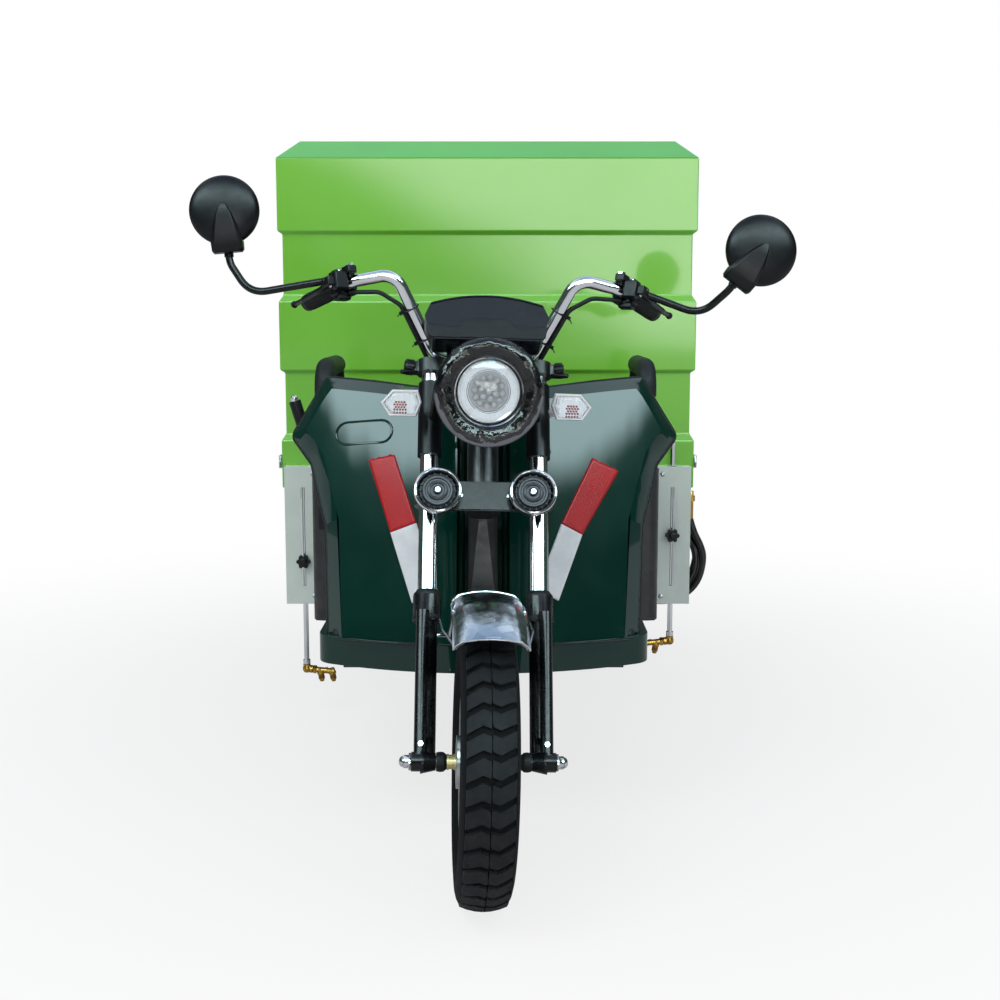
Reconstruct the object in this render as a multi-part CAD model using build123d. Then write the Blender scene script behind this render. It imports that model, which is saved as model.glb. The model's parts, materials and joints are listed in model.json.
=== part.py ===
"""Electric sanitation tricycle, in millimetres: +Z up, front towards -Y, ground at Z 0."""

import os
from math import cos, radians, sin, sqrt

from build123d import *

# Driving dimensions along the vehicle: tyre's front to box, box, box to the end of the tow eye
CAB_LENGTH = 1436
BOX_LENGTH = 1450
TAIL_LENGTH = 114
WHEELBASE = 2010
GAP = 0.3                      # seat clearance between pieces that don't touch
RUNNING = 0.05                 # radial clearance of a shaft in its hole

# Wheels
TYRE_R = 252
TYRE_W = 98
TREAD_W = 82
RIM_R = 152
RIM_W = 76
RIM_LIP = 8
HUB_R = 46
HUB_W = 96
AXLE_R = 8
REAR_TRACK = 840

# Steering: the turn in which it stands, and the places of legs and stem behind the axle
RAKE = 25
REST_TURN = 4
LEG_SPACING = 206
LEG_OFFSET = 34
STEM_OFFSET = 76
STANCHION_R = 18
SLIDER_R = 19
CAP_R = 26
DAMPER_R = 12
DAMPER_OUT = 8
CAP_LOW = 256
CAP_HIGH = 304
LOWER_YOKE = 476
UPPER_YOKE = 742
YOKE_T = 26
STEM_R = 12.5
HEAD_TUBE_R = 30
COVER_R = 23
COVER_LOW = 575
COVER_HIGH = 722

# Box for the water tank, with its walls' ribs
BOX_WIDTH = 1050
BOX_BOTTOM = 586
BOX_EAVE = 1410
BOX_WALL = 30
RIB_DEPTH = 11
ROOF_INSET = 54
ROOF_RISE = 46

# Frame and cab
DOWN_TUBE_W = 56
DOWN_TUBE_D = 34
RAIL_X = 258
RAIL_W = 44
RAIL_H = 60
FLOOR_TOP = 396
FLOOR_T = 8
APRON_H = 58
SEAT_BASE_D = 450
SEAT_BASE_W = 768
SEAT_BASE_TOP = 690
SEAT_BASE_LOW = 350
SHEET = 6

REAR_END = (CAB_LENGTH + BOX_LENGTH + TAIL_LENGTH) / 2
FRONT_AXLE_Y = TYRE_R - REAR_END
REAR_AXLE_Y = FRONT_AXLE_Y + WHEELBASE
BOX_REAR = REAR_END - TAIL_LENGTH
BOX_FRONT = BOX_REAR - BOX_LENGTH
RAIL_REAR = BOX_REAR + 14
FRAME_FRONT = FRONT_AXLE_Y + 363
DOWN_TUBE_FOOT = FRONT_AXLE_Y + 291
SEAT_BASE_REAR = BOX_FRONT - 46
SEAT_BASE_FRONT = SEAT_BASE_REAR - SEAT_BASE_D
RAIL_Z = BOX_BOTTOM - RAIL_H / 2
OUTRIGGER_LOW = BOX_BOTTOM - 36
OUTRIGGER_Y = (BOX_FRONT + 84, BOX_FRONT + 544, BOX_REAR - 336, BOX_REAR - 56)
OUTRIGGER_W = 32

parts = {}


def keep(name, *solids):
    """Adds solids to the node of this name."""
    parts.setdefault(name, []).extend(solids)


def block(x, y, z):
    """A box from three (low, high) pairs."""
    size = (x[1] - x[0], y[1] - y[0], z[1] - z[0])
    return Pos((x[0] + x[1]) / 2, (y[0] + y[1]) / 2, (z[0] + z[1]) / 2) * Box(*size)


def rod(start, end, radius):
    """A round bar between two points."""
    start, end = Vector(*start), Vector(*end)
    return Solid.make_cylinder(radius, (end - start).length, Plane(origin=start, z_dir=end - start))


def tube(start, end, outer, inner):
    """A round tube between two points."""
    return rod(start, end, outer) - rod(start, end, inner)


def bent_bar(points, bend, radius):
    """A round bar along straight runs with rounded corners."""
    path = FilletPolyline(*points, radius=bend)
    return sweep(Plane(origin=path @ 0, z_dir=path % 0) * Circle(radius), path=path)


def mirrored(solid):
    """The same solid on the other side of the vehicle's middle."""
    return mirror(solid, about=Plane.YZ)


def plate(outline, x):
    """A flat plate: an outline in (y, z) points, between two x values."""
    face = Plane.YZ * make_face(Polyline(*outline, close=True).edges())
    return Pos(x[0], 0, 0) * extrude(face, x[1] - x[0])


# Wheels, each turned about the X axis at the origin

def tyre():
    half, tread = TYRE_W / 2, TREAD_W / 2
    bead = RIM_W / 2 - RIM_LIP
    seat = RIM_R + GAP
    with BuildPart() as made:
        with BuildSketch(Plane.XY):
            with BuildLine():
                Polyline((-bead, seat), (bead, seat))
                Line((bead, seat), (bead, seat + 16))
                ThreePointArc((bead, seat + 16), (half, (seat + TYRE_R) / 2 + 4), (tread, TYRE_R - 9))
                ThreePointArc((tread, TYRE_R - 9), (0, TYRE_R), (-tread, TYRE_R - 9))
                ThreePointArc((-tread, TYRE_R - 9), (-half, (seat + TYRE_R) / 2 + 4), (-bead, seat + 16))
                Line((-bead, seat + 16), (-bead, seat))
            make_face()
        revolve(axis=Axis.X)
    return made.part


def rim(bore):
    """Pressed steel wheel: barrel with lips, a dished disc with windows and the brake drum hub."""
    lip, wall, floor = RIM_R + 15, 5, RIM_R - 22
    half = RIM_W / 2
    with BuildPart() as made:
        with BuildSketch(Plane.XY):
            with BuildLine():
                Polyline(
                    (-half, lip), (-half, RIM_R - 4), (-half + 16, floor), (half - 16, floor),
                    (half, RIM_R - 4), (half, lip), (half - RIM_LIP + 1, lip), (half - RIM_LIP + 1, RIM_R),
                    (half - 12, RIM_R), (half - 22, floor + wall), (-half + 22, floor + wall),
                    (-half + 12, RIM_R), (-half + RIM_LIP - 1, RIM_R), (-half + RIM_LIP - 1, lip),
                    close=True)
            make_face()
        revolve(axis=Axis.X)
        with BuildSketch(Plane.XY):
            with BuildLine():
                Polyline((2, 0), (2, 60), (12, 100), (12, floor + 1), (19, floor + 1), (19, 96),
                         (10, 58), (10, 0), close=True)
            make_face()
        revolve(axis=Axis.X)
        with Locations(Rot(0, 90, 0)):
            Cylinder(HUB_R, HUB_W)
            Cylinder(HUB_R + 16, 30, align=(Align.CENTER, Align.CENTER, Align.MIN))
        with BuildSketch(Plane.YZ):
            with PolarLocations(94, 6):
                SlotOverall(44, 26, rotation=90)
        extrude(amount=60, both=True, mode=Mode.SUBTRACT)
        with Locations(Rot(0, 90, 0)):
            Cylinder(bore, HUB_W + 2, mode=Mode.SUBTRACT)
    return made.part


# Steering, drawn straight ahead: F gives the place of a point of the fork's own frame,
# with x to the side, y square behind the axle and z up along the steering's slope

AXLE = Vector(0, FRONT_AXLE_Y, TYRE_R)
SLOPE_UP = Vector(0, sin(radians(RAKE)), cos(radians(RAKE)))
SLOPE_BACK = Vector(0, cos(radians(RAKE)), -sin(radians(RAKE)))


def F(x, y, z):
    return AXLE + Vector(x, 0, 0) + SLOPE_BACK * y + SLOPE_UP * z


def fork_plane(x, y, z):
    """A plane square to the steering axis, with its x to the side."""
    return Plane(origin=F(x, y, z), x_dir=(1, 0, 0), z_dir=SLOPE_UP)


STEER_AXIS = Axis(F(0, STEM_OFFSET, 0), SLOPE_UP)


def turned(solid):
    """The solid at the steering's rest turn."""
    return solid.rotate(STEER_AXIS, REST_TURN)


def keep_turned(name, *solids):
    keep(name, *[turned(solid) for solid in solids])


LEG_X = LEG_SPACING / 2
DAMPER_X = LEG_X + DAMPER_OUT
BOSS_INNER = 84
SPACER_INNER = HUB_W / 2 + GAP


def fork_lower_leg():
    """Slider with its cap, the outside damper in front of it, and the axle lug."""
    slider = rod(F(LEG_X, LEG_OFFSET, 14), F(LEG_X, LEG_OFFSET, CAP_LOW + 1), SLIDER_R)
    cap = rod(F(LEG_X, LEG_OFFSET, CAP_LOW), F(LEG_X, LEG_OFFSET, CAP_HIGH), CAP_R)
    damper = rod(F(DAMPER_X, 0, -14), F(DAMPER_X, 0, CAP_LOW + 14), DAMPER_R)
    top_lug = fork_plane(DAMPER_X, LEG_OFFSET / 2, CAP_LOW + 8) * Box(2 * DAMPER_R, LEG_OFFSET, 14)
    low_lug = fork_plane(LEG_X, LEG_OFFSET / 2, 26) * Box(26, LEG_OFFSET, 34)
    boss = Solid.make_cone(21, 15, DAMPER_X - BOSS_INNER,
                           Plane(origin=F(DAMPER_X, 0, 0), x_dir=(0, 1, 0), z_dir=(-1, 0, 0)))
    outer = rod(F(DAMPER_X - 1, 0, 0), F(DAMPER_X + 16, 0, 0), 17)
    leg = slider + cap + damper + top_lug + low_lug + boss + outer
    leg -= rod(F(LEG_X, LEG_OFFSET, 200), F(LEG_X, LEG_OFFSET, CAP_HIGH + 1), STANCHION_R)
    leg -= rod(F(BOSS_INNER - 20, 0, 0), F(DAMPER_X + 40, 0, 0), AXLE_R)
    return leg


def build_steering():
    leg = fork_lower_leg()
    keep_turned("fork_lower_legs", leg, mirrored(leg))

    stanchion = rod(F(LEG_X, LEG_OFFSET, 200), F(LEG_X, LEG_OFFSET, UPPER_YOKE + YOKE_T), STANCHION_R)
    keep_turned("fork_stanchions", stanchion, mirrored(stanchion))

    cover = tube(F(LEG_X, LEG_OFFSET, COVER_LOW), F(LEG_X, LEG_OFFSET, COVER_HIGH), COVER_R, STANCHION_R)
    keep_turned("fork_covers", cover, mirrored(cover))

    yokes = rod(F(0, STEM_OFFSET, LOWER_YOKE), F(0, STEM_OFFSET, UPPER_YOKE + YOKE_T), STEM_R)
    for low in (LOWER_YOKE, UPPER_YOKE):
        for x in (-LEG_X, LEG_X):
            yokes += rod(F(x, LEG_OFFSET, low), F(x, LEG_OFFSET, low + YOKE_T), STANCHION_R + 9)
        yokes += rod(F(0, STEM_OFFSET, low), F(0, STEM_OFFSET, low + YOKE_T), 34)
        yokes += fork_plane(0, LEG_OFFSET + 4, low + YOKE_T / 2) * Box(LEG_SPACING, 40, YOKE_T)
        yokes += fork_plane(0, (LEG_OFFSET + STEM_OFFSET) / 2, low + YOKE_T / 2) * Box(56, 50, YOKE_T)
    for side in (-1, 1):
        yokes += fork_plane(side * (LEG_X + 36), LEG_OFFSET, UPPER_YOKE + YOKE_T / 2) * Box(28, 24, 20)
        yokes -= rod(F(side * LEG_X, LEG_OFFSET, LOWER_YOKE - 5),
                     F(side * LEG_X, LEG_OFFSET, UPPER_YOKE + 60), STANCHION_R)
    front_plate = fork_plane(0, LEG_OFFSET - 29, LOWER_YOKE + YOKE_T / 2) * Box(112, 5, 56)
    lugs = fork_plane(0, LEG_OFFSET - 20, LOWER_YOKE + YOKE_T / 2) * Box(60, 14, 16)
    keep_turned("fork_yokes", yokes + front_plate + lugs)

    nut_outer = DAMPER_X + 16 + GAP
    axle = rod(F(-nut_outer - 18, 0, 0), F(nut_outer + 18, 0, 0), AXLE_R - RUNNING)
    for side in (-1, 1):
        axle += rod(F(side * nut_outer, 0, 0), F(side * (nut_outer + 4), 0, 0), 15)
        hexagon = Plane(origin=F(side * (nut_outer + 3), 0, 0), z_dir=(side, 0, 0)) * RegularPolygon(12, 6)
        axle += extrude(hexagon, 10)
        axle += rod(F(side * SPACER_INNER, 0, 0), F(side * (BOSS_INNER - GAP), 0, 0), 11)
    keep_turned("front_axle", axle)

    build_fender()
    build_headlamp()
    build_horns()
    build_indicators()
    build_handlebar()
    build_cables()
    build_mirrors(build_controls_on_bar())


FENDER_R = TYRE_R + 46
FENDER_T = 3
FENDER_HALF = 62
FENDER_CROWN = 7
FENDER_SKIRT = 24
FENDER_FROM = 55               # degrees up from straight ahead, at its front edge
FENDER_TO = 102


def build_fender():
    """Short bright fender over the tyre's front, crowned and rounded, on two stays."""
    def shell(radius, half, crown):
        with BuildPart() as made:
            with BuildSketch(Plane.XY):
                with BuildLine():
                    Line((-half, radius - FENDER_SKIRT), (-half + 4, radius - crown - 8))
                    Line((-half + 4, radius - crown - 8), (-half + 14, radius - crown))
                    ThreePointArc((-half + 14, radius - crown), (0, radius), (half - 14, radius - crown))
                    Line((half - 14, radius - crown), (half - 4, radius - crown - 8))
                    Line((half - 4, radius - crown - 8), (half, radius - FENDER_SKIRT))
                    Line((half, radius - FENDER_SKIRT), (-half, radius - FENDER_SKIRT))
                make_face()
            revolve(axis=Axis.X, revolution_arc=FENDER_TO - FENDER_FROM)
        return made.part

    whole = shell(FENDER_R, FENDER_HALF, FENDER_CROWN)
    hollow = shell(FENDER_R - FENDER_T, FENDER_HALF - FENDER_T, FENDER_CROWN)
    arch = whole - hollow
    # The revolve starts at +Y and rises: it is turned to run from the front edge upwards
    arch = Rot(180 - FENDER_TO, 0, 0) * arch
    arch = Pos(*AXLE) * arch
    stay_y, stay_z = STAY
    for side in (-1, 1):
        x = side * (FENDER_HALF - 1.5)
        arch += rod((x, stay_y, stay_z), (side * (LEG_X - SLIDER_R + 4), stay_y, stay_z), 4)
        arch += rod((x, stay_y, stay_z), (x, AXLE.Y - 40, AXLE.Z + FENDER_R - FENDER_SKIRT), 4)
        arch += Pos(x, AXLE.Y - 40, AXLE.Z + FENDER_R - FENDER_SKIRT) * Sphere(4)
        arch += Pos(x, stay_y, stay_z) * Sphere(4)
    slider = rod(F(LEG_X, LEG_OFFSET, 100), F(LEG_X, LEG_OFFSET, CAP_LOW), SLIDER_R)
    arch -= slider
    arch -= mirrored(slider)
    keep_turned("front_fender", arch)


STAY_PLACE = F(0, LEG_OFFSET, 230)
STAY = (STAY_PLACE.Y, STAY_PLACE.Z)

LAMP_R = 95
LAMP_FRONT_Y = FRONT_AXLE_Y + 156
LAMP_Z = 890
LAMP_DEPTH = 126
LENS_R = 60
LENS_RISE = 12
LENS_T = 28


def lamp_plane(y):
    """A plane across the lamp's axis, facing forward, at this distance behind its front."""
    return Plane(origin=(0, LAMP_FRONT_Y + y, LAMP_Z), x_dir=(1, 0, 0), z_dir=(0, -1, 0))


def build_headlamp():
    """Round bowl with a proud bezel and a lower lip; the lens sits in the bezel."""
    with BuildPart() as bowl:
        with BuildSketch(Plane.XZ):
            with BuildLine():
                Polyline((0, LAMP_DEPTH), (34, LAMP_DEPTH))
                ThreePointArc((34, LAMP_DEPTH), (74, 82), (LAMP_R - 4, 26))
                Polyline((LAMP_R - 4, 26), (LAMP_R, 22), (LAMP_R, 8), (LAMP_R - 8, 0), (LENS_R + 10, 0),
                         (LENS_R + GAP, 14), (LENS_R + GAP, 30), (0, 30), (0, LAMP_DEPTH))
            make_face()
        revolve(axis=Axis.Z)
    body = Plane(origin=(0, LAMP_FRONT_Y, LAMP_Z), x_dir=(1, 0, 0), z_dir=(0, 1, 0)).location * bowl.part
    for side in (-1, 1):
        ear = Pos(side * (LAMP_R - 8), LAMP_FRONT_Y + 62, LAMP_Z) * Box(22, 22, 26)
        arm = rod((side * (LAMP_R - 2), LAMP_FRONT_Y + 62, LAMP_Z), F(side * (LEG_X - 1), LEG_OFFSET, 640), 6)
        body += ear + arm
    # Lip round the lower half: the bezel's circle less the same circle raised
    lip = lamp_plane(30).location * Cylinder(LAMP_R + 4, 35, align=(Align.CENTER, Align.CENTER, Align.MIN))
    raised = lamp_plane(40).location * Pos(0, 16)
    raised *= Cylinder(LAMP_R + 1, 50, align=(Align.CENTER, Align.CENTER, Align.MIN))
    lip &= block((-2 * LAMP_R, 2 * LAMP_R), (LAMP_FRONT_Y - 10, LAMP_FRONT_Y + 40),
                 (LAMP_Z - 2 * LAMP_R, LAMP_Z - 4))
    body += lip - raised
    stanchion = rod(F(LEG_X, LEG_OFFSET, 500), F(LEG_X, LEG_OFFSET, 800), COVER_R)
    body -= stanchion
    body -= mirrored(stanchion)
    keep_turned("headlamp_shell", body)

    dome_r = (LENS_R ** 2 + LENS_RISE ** 2) / (2 * LENS_RISE)
    face_z = 30 - LENS_T
    lens = Pos(0, 0, 30) * Cylinder(LENS_R, 2 * LENS_T) & Pos(0, 0, face_z + dome_r) * Sphere(dome_r)
    lens = lens & Cylinder(LENS_R + 1, 30, align=(Align.CENTER, Align.CENTER, Align.MIN))
    lens = Plane(origin=(0, LAMP_FRONT_Y, LAMP_Z), x_dir=(1, 0, 0), z_dir=(0, 1, 0)).location * lens
    keep_turned("headlamp_lens", lens)


HORN_R = 43
HORN_X = 88
HORN_T = 30


def build_horns():
    """Two disc horns before the lower yoke: rim ring, stepped disc and centre bolt, on flat straps."""
    steps = ((HORN_R, 0, 20), (HORN_R - 3, 20, 24), (34, 6, 22), (26, 22, 27), (17, 27, 31), (7, 31, 36))
    for side in (-1, 1):
        centre = F(side * HORN_X, LEG_OFFSET - 27 - HORN_T, LOWER_YOKE + YOKE_T / 2)
        face = Plane(origin=centre + SLOPE_BACK * 20, x_dir=(1, 0, 0), z_dir=SLOPE_BACK * -1)
        horn = None
        for radius, low, high in steps:
            ring = Pos(0, 0, low) * Cylinder(radius, high - low, align=(Align.CENTER, Align.CENTER, Align.MIN))
            horn = ring if horn is None else horn + ring
        horn = face.location * horn
        horn += rod(centre + SLOPE_BACK * 20, centre + SLOPE_BACK * (HORN_T + 4), 9)
        horn -= fork_plane(side * LEG_X, LEG_OFFSET, LOWER_YOKE + YOKE_T / 2) * Cylinder(STANCHION_R + 9 + GAP, 60)
        keep_turned("disc_horns", horn)


INDICATOR = (158, FRONT_AXLE_Y + 236, 862)


def build_indicators():
    """Six-sided lamps on short stalks from the fork covers."""
    x, y, z = INDICATOR
    outline = ((38, 0), (17, 24), (-31, 24.5), (-38, 2), (-28, -24.5), (22, -24.5))
    for side in (-1, 1):
        face = Plane(origin=(side * x, y, z), x_dir=(1, 0, 0), z_dir=(0, -1, 0))
        points = [(side * a, b) for a, b in outline]
        lens = extrude(face * make_face(Polyline(*points, close=True).edges()), 18)
        back = extrude(face * make_face(Polyline(*points, close=True).edges()), -26, taper=14)
        lamp = lens + back
        lamp += rod((side * x, y + 14, z), F(side * (LEG_X + 8), LEG_OFFSET, 668), 8)
        lamp -= rod(F(side * LEG_X, LEG_OFFSET, 560), F(side * LEG_X, LEG_OFFSET, 740), COVER_R)
        keep_turned("front_indicators", lamp)


BAR_R = 12
BAR_CENTRE = (92, FRONT_AXLE_Y + 392, 941)
BAR_BEND_1 = (176, FRONT_AXLE_Y + 359, 1101)
BAR_BEND_2 = (258, FRONT_AXLE_Y + 365, 1083)
BAR_END = (348, FRONT_AXLE_Y + 498, 1042)
GRIP_LENGTH = 118


def on_side(point, side):
    return (side * point[0], point[1], point[2])


def along(start, end, distance):
    """The point at this distance from start towards end."""
    start, end = Vector(*start), Vector(*end)
    return start + (end - start).normalized() * distance


def bar_solid():
    half = [BAR_END, BAR_BEND_2, BAR_BEND_1, BAR_CENTRE]
    points = [on_side(p, -1) for p in half] + [on_side(p, 1) for p in reversed(half)]
    return bent_bar(points, 38, BAR_R)


def build_handlebar():
    """Bar on two risers, grips, controls and the instrument pod."""
    bar = bar_solid()
    top = UPPER_YOKE + YOKE_T
    for side in (-1, 1):
        x = side * 44
        foot = F(x, LEG_OFFSET + 6, top - 2)
        bar += rod((x, BAR_CENTRE[1] - 1, BAR_CENTRE[2]), foot, 13)
        bar += rod((x - 14, BAR_CENTRE[1], BAR_CENTRE[2]), (x + 14, BAR_CENTRE[1], BAR_CENTRE[2]), 19)
    yoke_top = fork_plane(0, LEG_OFFSET + 20, UPPER_YOKE + YOKE_T / 2) * Box(400, 300, YOKE_T)
    bar -= yoke_top
    keep_turned("handlebar", bar)

    for side in (-1, 1):
        end = on_side(BAR_END, side)
        inner = on_side(BAR_BEND_2, side)
        grip = rod(along(end, inner, -6), along(end, inner, GRIP_LENGTH), 17)
        grip += rod(along(end, inner, GRIP_LENGTH - 4), along(end, inner, GRIP_LENGTH), 21)
        grip -= rod(along(end, inner, 0), along(end, inner, GRIP_LENGTH + 5), BAR_R)
        keep_turned("handlebar_grips", grip)

    pod = Pos(*POD_PLACE) * Rot(-28, 0, 0) * pod_shape()
    for side in (-1, 1):
        pod += rod((side * 68, POD_PLACE[1] + 16, POD_PLACE[2] - 30), F(side * 68, LEG_OFFSET + 8, top - 4), 6)
    pod -= yoke_top
    keep_turned("instrument_pod", pod)


CABLE_R = 4.4
TIE_PLACES = (74, 140)


def build_cables():
    """A cable from each switch housing along the outside of the bar, held by ties."""
    for side in (-1, 1):
        run_end, bend = on_side(BAR_CENTRE, side), on_side(BAR_BEND_1, side)
        end, inner = on_side(BAR_END, side), on_side(BAR_BEND_2, side)
        direction = (Vector(*run_end) - Vector(*bend)).normalized()
        outward = Vector(side * 0.885, 0, -0.465) * (BAR_R + CABLE_R + GAP)
        cable = bent_bar([
            along(end, inner, GRIP_LENGTH + 35) + Vector(side * -2.4, -3.5, -16.7),
            Vector(*bend) + Vector(side * 29, 3, -36),
            Vector(*bend) + direction * 60 + outward, Vector(*run_end) + outward,
            Vector(side * 76, run_end[1] + 12, run_end[2] - 42)], 24, CABLE_R)
        for distance in TIE_PLACES:
            at = Vector(*bend) + direction * distance + Vector(side * 0.885, 0, -0.465) * (CABLE_R + GAP / 2)
            around = BAR_R + CABLE_R + 1.5 * GAP
            ring = Solid.make_cylinder(around + 1.6, 5, Plane(origin=at, z_dir=direction))
            ring -= Solid.make_cylinder(around, 7, Plane(origin=at - direction, z_dir=direction))
            cable += ring
        cable -= bar_solid()
        keep_turned("control_cables", cable)


def build_controls_on_bar():
    """Switch housing, lever perch and lever, clamped next to each grip; gives them back by side."""
    made = {}
    for side in (-1, 1):
        end = on_side(BAR_END, side)
        inner = on_side(BAR_BEND_2, side)
        housing = rod(along(end, inner, GRIP_LENGTH + 1), along(end, inner, GRIP_LENGTH + 31), 22)
        lever_root = along(end, inner, GRIP_LENGTH + 31) + Vector(side * 6, -26, 4)
        lever_tip = Vector(*end) + Vector(side * 26, -48, -6)
        housing += rod(along(end, inner, GRIP_LENGTH + 22), lever_root, 9)
        housing += rod(lever_root, lever_tip, 5)
        housing += Pos(*lever_tip) * Sphere(7)
        housing -= bar_solid()
        made[side] = housing
        keep_turned("handlebar_controls", housing)
    return made


POD_PLACE = (0, FRONT_AXLE_Y + 323, 1008)
POD_W = 236
POD_H = 92


def pod_shape():
    """Arched instrument housing, thinner to the back, with a hood over the dial."""
    half, top = POD_W / 2, POD_H / 2
    with BuildPart() as made:
        with BuildSketch(Plane.XZ):
            with BuildLine():
                Polyline((-half + 16, -top), (half - 16, -top), (half, top - 44), (half - 12, top - 16))
                ThreePointArc((half - 12, top - 16), (0, top), (-half + 12, top - 16))
                Polyline((-half + 12, top - 16), (-half, top - 44), (-half + 16, -top))
            make_face()
        extrude(amount=30, both=True)
        fillet(made.edges().filter_by(Axis.Y), 7)
    return made.part


MIRRORS = {
    # side: foot on the perch, elbow, neck under the head, head's centre
    -1: ((-262, FRONT_AXLE_Y + 372, 1092), (-450, FRONT_AXLE_Y + 398, 1060),
         (-496, FRONT_AXLE_Y + 414, 1112), (-508, FRONT_AXLE_Y + 428, 1212)),
    1: ((262, FRONT_AXLE_Y + 372, 1092), (410, FRONT_AXLE_Y + 334, 1044),
        (458, FRONT_AXLE_Y + 301, 1086), (511, FRONT_AXLE_Y + 278, 1162)),
}
MIRROR_ARM_R = 5
MIRROR_R = 67
MIRROR_FOOT = 62


def build_mirrors(controls):
    """Round mirrors on bent arms: a dished back, a flat glass side and a ball neck."""
    for side, (foot, elbow, neck, head) in MIRRORS.items():
        up = (Vector(*head) - Vector(*neck)).normalized()
        plane = Plane(origin=head, x_dir=up, z_dir=(0, -1, 0.12))
        socket_end = plane.from_local_coords((4 - MIRROR_R, 0, 12))
        arm = bent_bar([foot, elbow, neck], 34, MIRROR_ARM_R)
        arm += rod(neck, socket_end, MIRROR_ARM_R) + Pos(*neck) * Sphere(MIRROR_ARM_R)
        arm += rod(Vector(*foot) + Vector(0, 0, -24), Vector(*foot) + Vector(0, 0, 8), 9)
        arm -= controls[side]
        arm -= bar_solid()
        keep_turned("mirror_arms", arm)
        with BuildPart() as shell:
            with BuildSketch(Plane.XZ):
                with BuildLine():
                    Line((0, 0), (MIRROR_R, 0))
                    Line((MIRROR_R, 0), (MIRROR_R, 10))
                    ThreePointArc((MIRROR_R, 10), (MIRROR_R - 22, 22), (0, 27))
                    Line((0, 27), (0, 0))
                make_face()
            revolve(axis=Axis.Z)
        back = Pos(8 - MIRROR_R, 0, 12) * Box(46, MIRROR_FOOT, 22)
        # Fin from the foot's width to a narrow end over the dome's middle
        fin = extrude(Plane.XY.offset(14) * make_face(Polyline(
            (-MIRROR_R, -MIRROR_FOOT / 2), (-MIRROR_R, MIRROR_FOOT / 2), (-30, 22), (8, 8), (8, -8), (-30, -22),
            close=True).edges()), 15)
        back += fin
        head_solid = plane.location * (shell.part + back)
        head_solid -= rod(neck, along(socket_end, neck, -GAP), MIRROR_ARM_R + GAP)
        keep_turned("mirror_heads", head_solid)


# Frame body

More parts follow.
